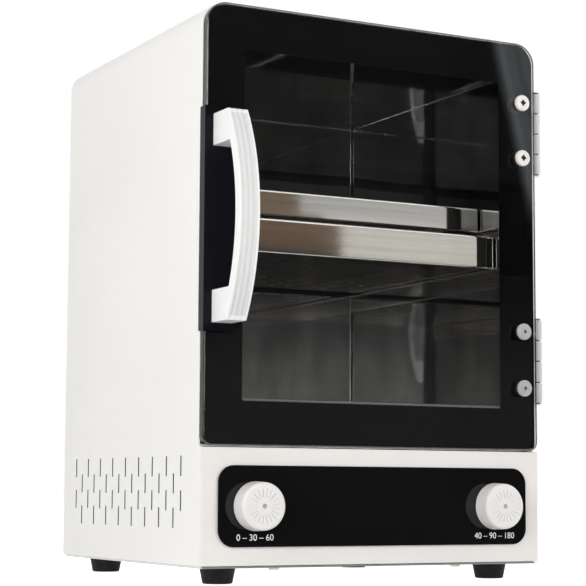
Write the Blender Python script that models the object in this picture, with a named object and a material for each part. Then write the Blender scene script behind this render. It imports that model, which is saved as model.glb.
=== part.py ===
"""Dry heat sterilizer: a small bench cabinet with a glass door, two sliding trays and two knobs.

Frame while modelling: X to the right, Y to the back, Z up. Y = 0 is the face of the lower front
panel, X = 0 the middle of the cabinet and Z = 0 the bench. The part_origin empty then shifts the
whole model so that its origin is the middle of its bottom.
"""

import bpy
import bmesh
from math import cos, pi, sin, sqrt
from mathutils import Matrix, Vector

MM = 0.001

# Fits
GAP = 0.3 * MM
OVERRUN = 2.0 * MM

# Cabinet
CABINET_WIDTH = 222.0 * MM
CABINET_DEPTH = 209.0 * MM
SHELL_HEIGHT = 314.0 * MM
SHELL_SHEET = 1.2 * MM
SHELL_CORNER = 13.0 * MM
PANEL_HEIGHT = 64.7 * MM
PANEL_SHEET = 1.2 * MM
BASE_SHEET = 1.0 * MM
BASE_INSET = 1.5 * MM
BASE_FLANGE = 12.0 * MM
REAR_SHEET = 1.2 * MM
REAR_RECESS = 1.5 * MM

# Feet and their screws
FOOT_HEIGHT = 8.8 * MM
FOOT_TOP_RADIUS = 10.3 * MM
FOOT_BOTTOM_RADIUS = 8.6 * MM
FOOT_EDGE = 1.2 * MM
FOOT_INSET_SIDE = 20.6 * MM
FOOT_INSET_FRONT = 22.0 * MM
FOOT_INSET_BACK = 22.6 * MM
FOOT_SCREW_RADIUS = 2.0 * MM
FOOT_SCREW_HEAD = 4.0 * MM
FOOT_SCREW_HEAD_HEIGHT = 2.2 * MM
FOOT_SEAT_RISE = 4.5 * MM
FOOT_SCREW_TAIL = 5.0 * MM

# Slits in the sides and in the back
SLIT_WIDTH = 1.6 * MM
SLIT_LENGTH = 11.4 * MM
SLIT_FRONT = 27.2 * MM
SLIT_BACK = 21.8 * MM
SLIT_RISE = 25.7 * MM
SLIT_PITCH_Z = 9.6 * MM
SLIT_ROW_COUNTS = (8, 9, 8, 9)
REAR_SLIT_COUNT = 9
REAR_SLIT_PITCH = 9.0 * MM
REAR_SLIT_INSET = 40.0 * MM
REAR_SLIT_RISE = 30.0 * MM

# Glass door
DOOR_SIDE_DROP = 0.2 * MM
DOOR_TOP_DROP = 0.3 * MM
DOOR_PANEL_GAP = 0.8 * MM
GLASS_THICKNESS = 5.0 * MM
GLASS_PROUD = 1.0 * MM
GLASS_TOP_CORNER = 13.0 * MM
GLASS_LOWER_CORNER = 5.0 * MM
GLASS_CHAMFER = 0.9 * MM
BORDER_THICKNESS = 0.5 * MM
BORDER_INSET = 1.0 * MM
BORDER_SIDE = 24.5 * MM
BORDER_END = 25.0 * MM
WINDOW_CORNER = 1.6 * MM

# Handle and its bracket
HANDLE_WIDTH = 12.4 * MM
HANDLE_LENGTH = 116.3 * MM
HANDLE_LEG = 17.4 * MM
HANDLE_REACH = 34.0 * MM
HANDLE_ARC_RADIUS = 115.0 * MM
HANDLE_BAR = 5.3 * MM
HANDLE_EDGE = 1.3 * MM
HANDLE_FLUTE = 0.45 * MM
HANDLE_INSET = 11.1 * MM
HANDLE_LIFT = 1.0 * MM
BRACKET_WIDTH = 23.6 * MM
BRACKET_MARGIN = 4.7 * MM
BRACKET_SHEET = 1.0 * MM
BRACKET_CORNER = 8.0 * MM
HANDLE_SCREW_RADIUS = 1.8 * MM
HANDLE_SCREW_HEAD = 3.4 * MM
HANDLE_SCREW_HEAD_HEIGHT = 1.1 * MM
HANDLE_SCREW_BITE = 12.0 * MM

# Hinges
HINGE_LENGTH = 50.8 * MM
HINGE_KNUCKLES = 4
HINGE_LEAF_WIDTH = 20.0 * MM
HINGE_LEAF_SHEET = 1.2 * MM
HINGE_BARREL_RADIUS = 3.1 * MM
HINGE_BORE_RADIUS = 1.9 * MM
HINGE_PIN_CLEARANCE = 0.1 * MM
HINGE_PIN_HEAD = 2.7 * MM
HINGE_PIN_HEAD_HEIGHT = 0.8 * MM
HINGE_END_SPACE = 54.2 * MM
HINGE_RIVET_RADIUS = 3.0 * MM
HINGE_RIVET_HEIGHT = 1.0 * MM
HINGE_RIVET_SPACING = 34.0 * MM

# Screws through the glass
GLASS_SCREW_INSET = 10.3 * MM
GLASS_SCREW_SPACING = 34.0 * MM
GLASS_SCREW_HEAD = 4.9 * MM
GLASS_SCREW_HEAD_HEIGHT = 2.2 * MM
GLASS_SCREW_RADIUS = 2.0 * MM
GLASS_SCREW_TAIL = 1.6 * MM
CROSS_WIDTH = 1.0 * MM
CROSS_LENGTH = 3.6 * MM
CROSS_DEPTH = 1.0 * MM

# Front frame, gasket and catch
FRAME_SHEET = 1.0 * MM
GASKET_WIDTH = 2.6 * MM
GASKET_OFFSET = 0.4 * MM
GASKET_CORNER = 5.0 * MM
CATCH_RISE = 36.1 * MM
MAGNET_RADIUS = 5.0 * MM
MAGNET_LENGTH = 8.0 * MM
STRIKE_RADIUS = 6.0 * MM
CLEARANCE_HOLE_RADIUS = 5.0 * MM

# Chamber and its insulation
CHAMBER_SIDE_SPACE = 19.3 * MM
CHAMBER_TOP_SPACE = 21.4 * MM
CHAMBER_BACK_SPACE = 14.8 * MM
CHAMBER_CORNER = 2.0 * MM
LINER_SHEET = 1.0 * MM
JACKET_SETBACK = 9.0 * MM
DIVIDER_RISE = 1.9 * MM
DIVIDER_SHEET = 1.0 * MM
BOARD_THICKNESS = 9.5 * MM
HEATER_SPACE = 14.8 * MM

# Trays and rails
TRAY_SIDE_SPACE = 0.7 * MM
TRAY_BACK_SPACE = 0.6 * MM
UPPER_TRAY_FRONT = 33.7 * MM
TRAY_SHEET = 0.9 * MM
TRAY_CORNER = 1.5 * MM
TRAY_BEND = 1.6 * MM
LOWER_TRAY_HEIGHT = 19.9 * MM
UPPER_TRAY_HEIGHT = 15.0 * MM
LOWER_TRAY_LIFT = 83.5 * MM
UPPER_TRAY_LIFT = 24.5 * MM
LOWER_TRAY_PULL = 17.0 * MM
TRAY_HOLE_RADIUS = 2.6 * MM
TRAY_HOLE_PITCH = 15.0 * MM
TRAY_HOLE_MARGIN = 12.0 * MM
TRAY_HOLE_STEPS = 6
RAIL_OVERLAP = 2.5 * MM
LOWER_RAIL_DROP = 10.0 * MM
UPPER_RAIL_DROP = 2.6 * MM
RAIL_SHEET = 1.0 * MM
RAIL_END_SPACE = 1.5 * MM

# Control plate, knobs and what they turn
PLATE_SIDE_SPACE = 9.65 * MM
PLATE_RISE = 10.2 * MM
PLATE_HEIGHT = 44.7 * MM
PLATE_THICKNESS = 1.0 * MM
PLATE_CORNER = 9.5 * MM
KNOB_INSET = 22.55 * MM
KNOB_RADIUS = 13.6 * MM
KNOB_FACE_RADIUS = 13.2 * MM
KNOB_LENGTH = 11.4 * MM
KNOB_EDGE = 1.8 * MM
KNOB_DIMPLE_RADIUS = 1.4 * MM
KNOB_DIMPLE_DEPTH = 0.8 * MM
KNOB_LINE_COUNT = 20
KNOB_LINE_WIDTH = 0.45 * MM
KNOB_LINE_DEPTH = 0.4 * MM
KNOB_LINE_SHARES = (0.37, 0.72)
SHAFT_RADIUS = 3.0 * MM
SHAFT_BITE = 7.5 * MM
TIMER_WIDTH = 42.0 * MM
TIMER_HEIGHT = 40.0 * MM
TIMER_DEPTH = 36.0 * MM
THERMOSTAT_RADIUS = 17.0 * MM
THERMOSTAT_DEPTH = 30.0 * MM
BODY_CHAMFER = 1.2 * MM

# Heater, sensor and cut-out
HEATER_RADIUS = 3.2 * MM
HEATER_LIFT = 7.4 * MM
HEATER_SIDE_SPACE = 25.7 * MM
HEATER_LOOP_WIDTH = 44.0 * MM
HEATER_FRONT_SPACE = 37.0 * MM
HEATER_LOOP_SPACE = 34.2 * MM
HEATER_END_SPACE = 24.2 * MM
HEATER_BEND = 14.0 * MM
BAR_WIDTH = 10.0 * MM
BAR_SHEET = 1.2 * MM
BAR_START = 30.0 * MM
BAR_SPACING = 55.0 * MM
BAR_MARGIN = 2.2 * MM
BULB_RADIUS = 3.0 * MM
BULB_LENGTH = 60.0 * MM
BULB_INSET = 11.7 * MM
BULB_START = 62.0 * MM
CAPILLARY_RADIUS = 0.9 * MM
CAPILLARY_START = 22.0 * MM
CAPILLARY_BEND = 6.0 * MM
CLIP_SHEET = 1.0 * MM
CLIP_WIDTH = 8.0 * MM
CUTOUT_RADIUS = 8.0 * MM
CUTOUT_HEIGHT = 6.0 * MM
CUTOUT_START = 60.0 * MM

# Mains inlet, terminal block and wires
INLET_INSET = 41.0 * MM
INLET_RISE = 31.6 * MM
INLET_FLANGE_WIDTH = 32.0 * MM
INLET_FLANGE_HEIGHT = 25.0 * MM
INLET_FLANGE_THICKNESS = 2.0 * MM
INLET_BODY_WIDTH = 27.4 * MM
INLET_BODY_HEIGHT = 20.4 * MM
INLET_BODY_DEPTH = 20.0 * MM
INLET_WALL = 1.6 * MM
INLET_CAVITY_DEPTH = 16.0 * MM
INLET_CORNER = 2.0 * MM
BLADE_WIDTH = 2.0 * MM
BLADE_HEIGHT = 4.0 * MM
BLADE_LENGTH = 13.0 * MM
BLADE_SPACING = 14.0 * MM
BLADE_RAISE = 2.2 * MM
BLOCK_WIDTH = 34.0 * MM
BLOCK_DEPTH = 18.0 * MM
BLOCK_HEIGHT = 14.0 * MM
BLOCK_BEHIND_MIDDLE = 15.0 * MM
WIRE_RADIUS = 1.4 * MM
WIRE_BEND = 9.0 * MM
WIRE_HOLE_RADIUS = 4.0 * MM

# Facets
ARC_STEPS = 5
ROUND_STEPS = 20
SMALL_STEPS = 12
HANDLE_ARC_STEPS = 14
BEND_STEPS = 5
SHARP_ANGLE = pi / 6

# Places of the cabinet's sheets
HALF_WIDTH = CABINET_WIDTH / 2
BASE_LOW_Z = FOOT_HEIGHT + GAP
BASE_TOP_Z = BASE_LOW_Z + BASE_SHEET
SHELL_LOW_Z = BASE_TOP_Z + GAP
SHELL_TOP_Z = SHELL_LOW_Z + SHELL_HEIGHT
SHELL_INNER_X = HALF_WIDTH - SHELL_SHEET
SHELL_INNER_TOP_Z = SHELL_TOP_Z - SHELL_SHEET
PANEL_TOP_Z = SHELL_LOW_Z + PANEL_HEIGHT
REAR_OUTER_Y = CABINET_DEPTH - REAR_RECESS
REAR_INNER_Y = REAR_OUTER_Y - REAR_SHEET
FOOT_X = HALF_WIDTH - FOOT_INSET_SIDE
FOOT_BACK_Y = CABINET_DEPTH - FOOT_INSET_BACK
FOOT_PLACES = {
    "front_left": (-FOOT_X, FOOT_INSET_FRONT),
    "front_right": (FOOT_X, FOOT_INSET_FRONT),
    "rear_left": (-FOOT_X, FOOT_BACK_Y),
    "rear_right": (FOOT_X, FOOT_BACK_Y),
}
SLIT_PITCH_Y = (CABINET_DEPTH - SLIT_FRONT - SLIT_BACK) / (max(SLIT_ROW_COUNTS) - 1)
SLIT_BOTTOM_Z = SHELL_LOW_Z + SLIT_RISE

# Places of the door's layers and of what it carries
DOOR_HALF = HALF_WIDTH - DOOR_SIDE_DROP
DOOR_LOW_Z = PANEL_TOP_Z + DOOR_PANEL_GAP
DOOR_TOP_Z = SHELL_TOP_Z - DOOR_TOP_DROP
GLASS_FRONT_Y = -GLASS_PROUD
GLASS_BACK_Y = GLASS_FRONT_Y + GLASS_THICKNESS
SHELL_DOOR_Y = GLASS_BACK_Y + GAP + GAP
BORDER_FRONT_Y = GLASS_BACK_Y + GAP
BORDER_BACK_Y = BORDER_FRONT_Y + BORDER_THICKNESS
LEAF_FRONT_Y = BORDER_BACK_Y + GAP
LEAF_BACK_Y = LEAF_FRONT_Y + HINGE_LEAF_SHEET
HINGE_AXIS_X = HALF_WIDTH + GAP + HINGE_LEAF_SHEET / 2 + HINGE_BARREL_RADIUS
HINGE_AXIS_Y = LEAF_FRONT_Y
HINGE_HEIGHTS = {"upper": DOOR_TOP_Z - HINGE_END_SPACE, "lower": DOOR_LOW_Z + HINGE_END_SPACE}
GLASS_SCREW_X = DOOR_HALF - GLASS_SCREW_INSET
BRACKET_LEFT_X = -DOOR_HALF - GAP - BRACKET_SHEET
BRACKET_BACK_Y = GLASS_FRONT_Y - GAP
BRACKET_FRONT_Y = BRACKET_BACK_Y - BRACKET_SHEET
HANDLE_BACK_Y = BRACKET_FRONT_Y - GAP
HANDLE_FRONT_Y = HANDLE_BACK_Y - HANDLE_REACH
HANDLE_CENTRE_X = BRACKET_LEFT_X + HANDLE_INSET
HANDLE_CENTRE_Z = (DOOR_LOW_Z + DOOR_TOP_Z) / 2 + HANDLE_LIFT
HANDLE_SCREW_SPACING = HANDLE_LENGTH - HANDLE_LEG

# Places of the frame, the chamber and the trays
FRAME_FRONT_Y = LEAF_BACK_Y + GAP
FRAME_BACK_Y = FRAME_FRONT_Y + FRAME_SHEET
CATCH_X = HANDLE_CENTRE_X
CATCH_Z = DOOR_LOW_Z + CATCH_RISE
DIVIDER_Z = PANEL_TOP_Z + DIVIDER_RISE
BOARD_LOW_Z = DIVIDER_Z + DIVIDER_SHEET + GAP
BOARD_TOP_Z = BOARD_LOW_Z + BOARD_THICKNESS
CHAMBER_HALF = HALF_WIDTH - CHAMBER_SIDE_SPACE
CHAMBER_FLOOR_Z = BOARD_TOP_Z + HEATER_SPACE
CHAMBER_TOP_Z = SHELL_TOP_Z - CHAMBER_TOP_SPACE
CHAMBER_BACK_Y = CABINET_DEPTH - CHAMBER_BACK_SPACE
CHAMBER_UNDERSIDE_Z = CHAMBER_FLOOR_Z - LINER_SHEET - GAP
LINER_FRONT_Y = FRAME_BACK_Y + GAP
JACKET_FRONT_Y = FRAME_BACK_Y + JACKET_SETBACK
JACKET_BACK_Y = REAR_INNER_Y - GAP
TRAY_HALF = CHAMBER_HALF - TRAY_SIDE_SPACE
UPPER_TRAY_Y = UPPER_TRAY_FRONT
TRAY_DEPTH = CHAMBER_BACK_Y - TRAY_BACK_SPACE - UPPER_TRAY_Y
LOWER_TRAY_Y = UPPER_TRAY_Y - LOWER_TRAY_PULL
LOWER_TRAY_Z = CHAMBER_FLOOR_Z + LOWER_TRAY_LIFT
UPPER_TRAY_Z = LOWER_TRAY_Z + UPPER_TRAY_LIFT
RAIL_LEDGE = TRAY_SIDE_SPACE + TRAY_BEND + RAIL_OVERLAP

# Places of the controls
PLATE_BACK_Y = -GAP
PLATE_FRONT_Y = PLATE_BACK_Y - PLATE_THICKNESS
PLATE_HALF = HALF_WIDTH - PLATE_SIDE_SPACE
PLATE_LOW_Z = SHELL_LOW_Z + PLATE_RISE
PLATE_TOP_Z = PLATE_LOW_Z + PLATE_HEIGHT
KNOB_BACK_Y = PLATE_FRONT_Y - GAP
KNOB_FRONT_Y = KNOB_BACK_Y - KNOB_LENGTH
KNOB_Z = (PLATE_LOW_Z + PLATE_TOP_Z) / 2
KNOB_X = PLATE_HALF - KNOB_INSET
BODY_FRONT_Y = PANEL_SHEET + GAP
SHAFT_CENTRES = ((-KNOB_X, KNOB_Z), (KNOB_X, KNOB_Z))

# Places of the heater, the sensor and the wiring
HEATER_Z = BOARD_TOP_Z + HEATER_LIFT
HEATER_OUTER_X = CHAMBER_HALF - HEATER_SIDE_SPACE
HEATER_INNER_X = HEATER_LOOP_WIDTH / 2
HEATER_FRONT_Y = LINER_FRONT_Y + HEATER_FRONT_SPACE
HEATER_LOOP_Y = CHAMBER_BACK_Y - HEATER_LOOP_SPACE
HEATER_END_Y = CHAMBER_BACK_Y - HEATER_END_SPACE
BULB_X = CHAMBER_HALF - BULB_INSET
BULB_FRONT_Y = LINER_FRONT_Y + BULB_START
CAPILLARY_Y = LINER_FRONT_Y + CAPILLARY_START
INLET_X = HALF_WIDTH - INLET_INSET
INLET_Z = SHELL_LOW_Z + INLET_RISE
INLET_BACK_Y = REAR_OUTER_Y + GAP + INLET_FLANGE_THICKNESS
INLET_FRONT_Y = REAR_OUTER_Y - INLET_BODY_DEPTH
BLOCK_Y = CABINET_DEPTH / 2 + BLOCK_BEHIND_MIDDLE
BLOCK_LOW_Z = BASE_TOP_Z + GAP

ORIGIN_X = (BRACKET_LEFT_X + HINGE_AXIS_X + HINGE_BARREL_RADIUS) / 2
ORIGIN_Y = (HANDLE_FRONT_Y + INLET_BACK_Y) / 2

# Each plane gives the directions of an outline's two numbers and of its depth.
PLANES = {
    "front": (Vector((1, 0, 0)), Vector((0, 0, 1)), Vector((0, 1, 0))),
    "top": (Vector((1, 0, 0)), Vector((0, 1, 0)), Vector((0, 0, 1))),
    "side": (Vector((0, 1, 0)), Vector((0, 0, 1)), Vector((1, 0, 0))),
}


def clear_scene():
    """Remove every object that the file opened with."""
    for item in list(bpy.data.objects):
        bpy.data.objects.remove(item, do_unlink=True)


def make_material(name, colour, roughness, metallic=0.0, alpha=1.0):
    """Return a Principled material."""
    made = bpy.data.materials.new(name)
    made.use_nodes = True
    shader = made.node_tree.nodes["Principled BSDF"]
    shader.inputs["Base Color"].default_value = (*colour, 1.0)
    shader.inputs["Roughness"].default_value = roughness
    shader.inputs["Metallic"].default_value = metallic
    shader.inputs["Alpha"].default_value = alpha
    made.diffuse_color = (*colour, alpha)
    return made


def make_empty(name, place, parent=None):
    """Return an empty that carries pieces, or marks the axis that they move on."""
    empty = bpy.data.objects.new(name, None)
    bpy.context.scene.collection.objects.link(empty)
    empty.location = place
    if parent:
        empty.parent = parent
    return empty


class Builder:
    """Makes pieces in the modelling frame and hangs each on its carrier."""

    def __init__(self):
        self.root = make_empty("part_origin", (-ORIGIN_X, -ORIGIN_Y, 0))
        self.carriers = {"cabinet": (self.root, Vector((0, 0, 0)))}

    def add_carrier(self, name, place):
        """Add an empty on a joint's axis."""
        self.carriers[name] = (make_empty(name + "_axis", place, self.root), Vector(place))

    def place(self, mesh_maker, name, carrier, material=None):
        """Turn a bmesh into an object whose origin is its carrier's."""
        parent, start = self.carriers[carrier]
        bmesh.ops.recalc_face_normals(mesh_maker, faces=mesh_maker.faces)
        mesh = bpy.data.meshes.new(name)
        mesh_maker.to_mesh(mesh)
        mesh_maker.free()
        mesh.transform(Matrix.Translation(-start))
        mesh.shade_smooth()
        mesh.set_sharp_from_angle(angle=SHARP_ANGLE)
        piece = bpy.data.objects.new(name, mesh)
        bpy.context.scene.collection.objects.link(piece)
        piece.parent = parent
        if material:
            mesh.materials.append(material)
        return piece

    def loft(self, name, rings, carrier="cabinet", material=None, closed=False):
        """Join rings of equally many points, and cap both ends unless they close on each other."""
        maker = bmesh.new()
        add_loft(maker, rings, closed)
        return self.place(maker, name, carrier, material)

    def prism(self, name, outline, plane, start, end, carrier="cabinet", material=None):
        """Extrude a flat outline."""
        rings = [ring_at(outline, plane, depth) for depth in (start, end)]
        return self.loft(name, rings, carrier, material)

    def box(self, name, low, high, carrier="cabinet", material=None):
        """Make a box between two corners."""
        maker = bmesh.new()
        add_box(maker, low, high)
        return self.place(maker, name, carrier, material)

    def turned(self, name, profile, centre, plane, carrier="cabinet", material=None,
               closed=False, steps=ROUND_STEPS):
        """Turn a profile of (radius, depth) pairs round a line square to a plane."""
        rings = [circle_ring(centre, radius, plane, depth, steps) for radius, depth in profile]
        return self.loft(name, rings, carrier, material, closed)

    def tube(self, name, route, radius, bend, carrier, material, sides=2):
        """Sweep a round tube along a route whose corners are rounded."""
        parent, start = self.carriers[carrier]
        points = rounded_route(route, bend)
        curve = bpy.data.curves.new(name, "CURVE")
        curve.dimensions = "3D"
        curve.bevel_depth = radius
        curve.bevel_resolution = sides
        curve.use_fill_caps = True
        line = curve.splines.new("POLY")
        line.points.add(len(points) - 1)
        for target, point in zip(line.points, points):
            target.co = (*(point - start), 1.0)
        piece = bpy.data.objects.new(name, curve)
        bpy.context.scene.collection.objects.link(piece)
        piece.parent = parent
        curve.materials.append(material)
        return piece


def add_loft(maker, rings, closed=False):
    """Add a lofted body to a bmesh."""
    corners = [[maker.verts.new(point) for point in ring] for ring in rings]
    pairs = list(zip(corners, corners[1:]))
    if closed:
        pairs.append((corners[-1], corners[0]))
    count = len(corners[0])
    for near, far in pairs:
        for index in range(count):
            after = (index + 1) % count
            maker.faces.new((near[index], near[after], far[after], far[index]))
    if not closed:
        maker.faces.new(corners[0])
        maker.faces.new(corners[-1])


def add_box(maker, low, high):
    """Add a box to a bmesh."""
    outline = [(low[0], low[1]), (high[0], low[1]), (high[0], high[1]), (low[0], high[1])]
    add_loft(maker, [ring_at(outline, "top", depth) for depth in (low[2], high[2])])


def ring_at(outline, plane, depth):
    """Place an outline's points at a depth along its plane's normal."""
    across, up, along = PLANES[plane]
    return [across * first + up * second + along * depth for first, second in outline]


def circle_ring(centre, radius, plane, depth, steps=ROUND_STEPS):
    """Return a circle of points round a centre given in its plane."""
    turns = [2 * pi * step / steps for step in range(steps)]
    outline = [(centre[0] + radius * cos(turn), centre[1] + radius * sin(turn)) for turn in turns]
    return ring_at(outline, plane, depth)


def rounded_rectangle(left, right, low, high, lower_radius, upper_radius=None):
    """Return a rectangle's outline with an arc at each corner."""
    upper_radius = lower_radius if upper_radius is None else upper_radius
    corners = (
        (left + lower_radius, low + lower_radius, lower_radius, pi),
        (right - lower_radius, low + lower_radius, lower_radius, 3 * pi / 2),
        (right - upper_radius, high - upper_radius, upper_radius, 0),
        (left + upper_radius, high - upper_radius, upper_radius, pi / 2),
    )
    points = []
    for across, up, radius, start in corners:
        for step in range(ARC_STEPS + 1):
            turn = start + pi / 2 * step / ARC_STEPS
            points.append((across + radius * cos(turn), up + radius * sin(turn)))
    return points


def rounded_route(route, bend):
    """Replace each inner corner of a route by a quadratic bend."""
    stops = [Vector(stop) for stop in route]
    points = [stops[0]]
    for before, corner, after in zip(stops, stops[1:], stops[2:]):
        start = corner + (before - corner).normalized() * bend
        end = corner + (after - corner).normalized() * bend
        for step in range(BEND_STEPS + 1):
            share = step / BEND_STEPS
            points.append(start.lerp(corner, share).lerp(corner.lerp(end, share), share))
    points.append(stops[-1])
    return points


def hide_helper(helper):
    """Keep a cutter or an added shape out of the model."""
    helper.hide_render = True
    helper.display_type = "WIRE"


def combine(piece, helper, operation):
    """Cut a helper from a piece, or weld it on."""
    change = piece.modifiers.new(operation.lower() + "_" + helper.name, "BOOLEAN")
    change.operation = operation
    change.solver = "EXACT"
    change.object = helper
    hide_helper(helper)


def cut(piece, *helpers):
    """Cut helpers out of a piece."""
    for helper in helpers:
        combine(piece, helper, "DIFFERENCE")


def weld(piece, *helpers):
    """Weld helpers onto a piece."""
    for helper in helpers:
        combine(piece, helper, "UNION")


def many_boxes(builder, name, corners, carrier="cabinet"):
    """Make one helper of several boxes."""
    maker = bmesh.new()
    for low, high in corners:
        add_box(maker, low, high)
    return builder.place(maker, name, carrier)


def many_pegs(builder, name, centres, radius, plane, start, end, carrier="cabinet", steps=SMALL_STEPS):
    """Make one helper of several round pegs."""
    maker = bmesh.new()
    for centre in centres:
        add_loft(maker, [circle_ring(centre, radius, plane, depth, steps) for depth in (start, end)])
    return builder.place(maker, name, carrier)


def slit_boxes(side_x):
    """Return the boxes that cut one side's staggered slits."""
    boxes = []
    longest = max(SLIT_ROW_COUNTS)
    for row, count in enumerate(SLIT_ROW_COUNTS):
        first = SLIT_FRONT + SLIT_PITCH_Y / 2 * (longest - count)
        middle = SLIT_BOTTOM_Z + SLIT_PITCH_Z * row
        for place in range(count):
            along = first + SLIT_PITCH_Y * place
            boxes.append((
                (side_x - OVERRUN, along - SLIT_WIDTH / 2, middle - SLIT_LENGTH / 2),
                (side_x + OVERRUN, along + SLIT_WIDTH / 2, middle + SLIT_LENGTH / 2),
            ))
    return boxes


def make_shell(builder, paint):
    """Outer shell: a folded sheet over both sides and the top, slit low on both sides."""
    outer = [(HALF_WIDTH, SHELL_LOW_Z)]
    inner = [(SHELL_INNER_X, SHELL_LOW_Z)]
    inner_radius = SHELL_CORNER - SHELL_SHEET
    centres = ((HALF_WIDTH - SHELL_CORNER, 0), (SHELL_CORNER - HALF_WIDTH, pi / 2))
    for across, start in centres:
        for step in range(ARC_STEPS + 1):
            turn = start + pi / 2 * step / ARC_STEPS
            up = SHELL_TOP_Z - SHELL_CORNER
            outer.append((across + SHELL_CORNER * cos(turn), up + SHELL_CORNER * sin(turn)))
            inner.append((across + inner_radius * cos(turn), up + inner_radius * sin(turn)))
    outer.append((-HALF_WIDTH, SHELL_LOW_Z))
    inner.append((-SHELL_INNER_X, SHELL_LOW_Z))
    outline = outer + inner[::-1]
    shell = builder.prism("outer_shell", outline, "front", PANEL_SHEET + GAP, CABINET_DEPTH, material=paint)
    reach = HALF_WIDTH + OVERRUN
    step_cut = builder.box("shell_step_cut", (-reach, -OVERRUN, PANEL_TOP_Z + GAP),
                           (reach, SHELL_DOOR_Y, SHELL_TOP_Z + OVERRUN))
    slits = many_boxes(builder, "shell_slit_cut", slit_boxes(-HALF_WIDTH) + slit_boxes(HALF_WIDTH))
    notch_half = HINGE_LENGTH / 2 + GAP
    notches = many_boxes(builder, "shell_hinge_cut", [
        ((SHELL_INNER_X - OVERRUN, 0, height - notch_half),
         (reach, LEAF_BACK_Y + GAP, height + notch_half))
        for height in HINGE_HEIGHTS.values()
    ])
    cut(shell, step_cut, slits, notches)
    return shell


def make_front_panel(builder, paint):
    """Lower front panel with a return along its top edge and two shaft holes."""
    panel = builder.box("front_panel", (-HALF_WIDTH, 0, SHELL_LOW_Z),
                        (HALF_WIDTH, PANEL_SHEET, PANEL_TOP_Z), material=paint)
    ledge = builder.box("front_panel_ledge",
                        (-SHELL_INNER_X + GAP, PANEL_SHEET / 2, PANEL_TOP_Z - PANEL_SHEET),
                        (SHELL_INNER_X - GAP, FRAME_FRONT_Y - GAP, PANEL_TOP_Z))
    weld(panel, ledge)
    holes = many_pegs(builder, "panel_shaft_cut", SHAFT_CENTRES,
                      SHAFT_RADIUS + GAP, "front", -OVERRUN, PANEL_SHEET + OVERRUN)
    cut(panel, holes)
    return panel


def make_base(builder, steel):
    """Base plate with turned-up sides that stand inside the shell."""
    side = SHELL_INNER_X - GAP
    wide = HALF_WIDTH - BASE_INSET
    base = builder.box("base_plate", (-wide, BASE_INSET, BASE_LOW_Z),
                       (wide, CABINET_DEPTH - BASE_INSET, BASE_TOP_Z), material=steel)
    flanges = many_boxes(builder, "base_flanges", [
        ((left, PANEL_SHEET + OVERRUN, BASE_LOW_Z + BASE_SHEET / 2),
         (left + BASE_SHEET, REAR_INNER_Y - GAP, BASE_TOP_Z + BASE_FLANGE))
        for left in (-side, side - BASE_SHEET)
    ])
    weld(base, flanges)
    holes = many_pegs(builder, "base_foot_cut", FOOT_PLACES.values(), FOOT_SCREW_RADIUS + GAP, "top",
                      BASE_LOW_Z - OVERRUN, BASE_TOP_Z + OVERRUN)
    cut(base, holes)
    return base


def make_feet(builder, rubber, steel):
    """Four tapered rubber feet, each held by a screw through the base."""
    for place, centre in FOOT_PLACES.items():
        bore = FOOT_SCREW_RADIUS + GAP
        recess = FOOT_SCREW_HEAD + GAP
        builder.turned("foot_" + place, (
            (recess, 0), (FOOT_BOTTOM_RADIUS - FOOT_EDGE, 0), (FOOT_BOTTOM_RADIUS, FOOT_EDGE),
            (FOOT_TOP_RADIUS, FOOT_HEIGHT), (bore, FOOT_HEIGHT), (bore, FOOT_SEAT_RISE),
            (recess, FOOT_SEAT_RISE),
        ), centre, "top", material=rubber, closed=True)
        head_top = FOOT_SEAT_RISE - GAP
        builder.turned("foot_screw_" + place, (
            (FOOT_SCREW_HEAD, head_top - FOOT_SCREW_HEAD_HEIGHT), (FOOT_SCREW_HEAD, head_top),
            (FOOT_SCREW_RADIUS, head_top), (FOOT_SCREW_RADIUS, BASE_TOP_Z + FOOT_SCREW_TAIL),
        ), centre, "top", material=steel, steps=SMALL_STEPS)


def make_rear_panel(builder, paint):
    """Rear panel with an inlet cut-out and a row of slits."""
    side = SHELL_INNER_X - GAP
    panel = builder.prism("rear_panel", rounded_rectangle(
        -side, side, SHELL_LOW_Z, SHELL_INNER_TOP_Z - GAP, GAP, SHELL_CORNER - SHELL_SHEET),
        "front", REAR_INNER_Y, REAR_OUTER_Y, material=paint)
    half_width = INLET_BODY_WIDTH / 2 + GAP
    half_height = INLET_BODY_HEIGHT / 2 + GAP
    openings = [((INLET_X - half_width, REAR_INNER_Y - OVERRUN, INLET_Z - half_height),
                 (INLET_X + half_width, REAR_OUTER_Y + OVERRUN, INLET_Z + half_height))]
    for place in range(REAR_SLIT_COUNT):
        across = REAR_SLIT_INSET - HALF_WIDTH + REAR_SLIT_PITCH * place
        middle = SHELL_LOW_Z + REAR_SLIT_RISE
        openings.append(((across - SLIT_WIDTH / 2, REAR_INNER_Y - OVERRUN, middle - SLIT_LENGTH),
                         (across + SLIT_WIDTH / 2, REAR_OUTER_Y + OVERRUN, middle + SLIT_LENGTH)))
    cut(panel, many_boxes(builder, "rear_cut", openings))
    return panel


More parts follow.
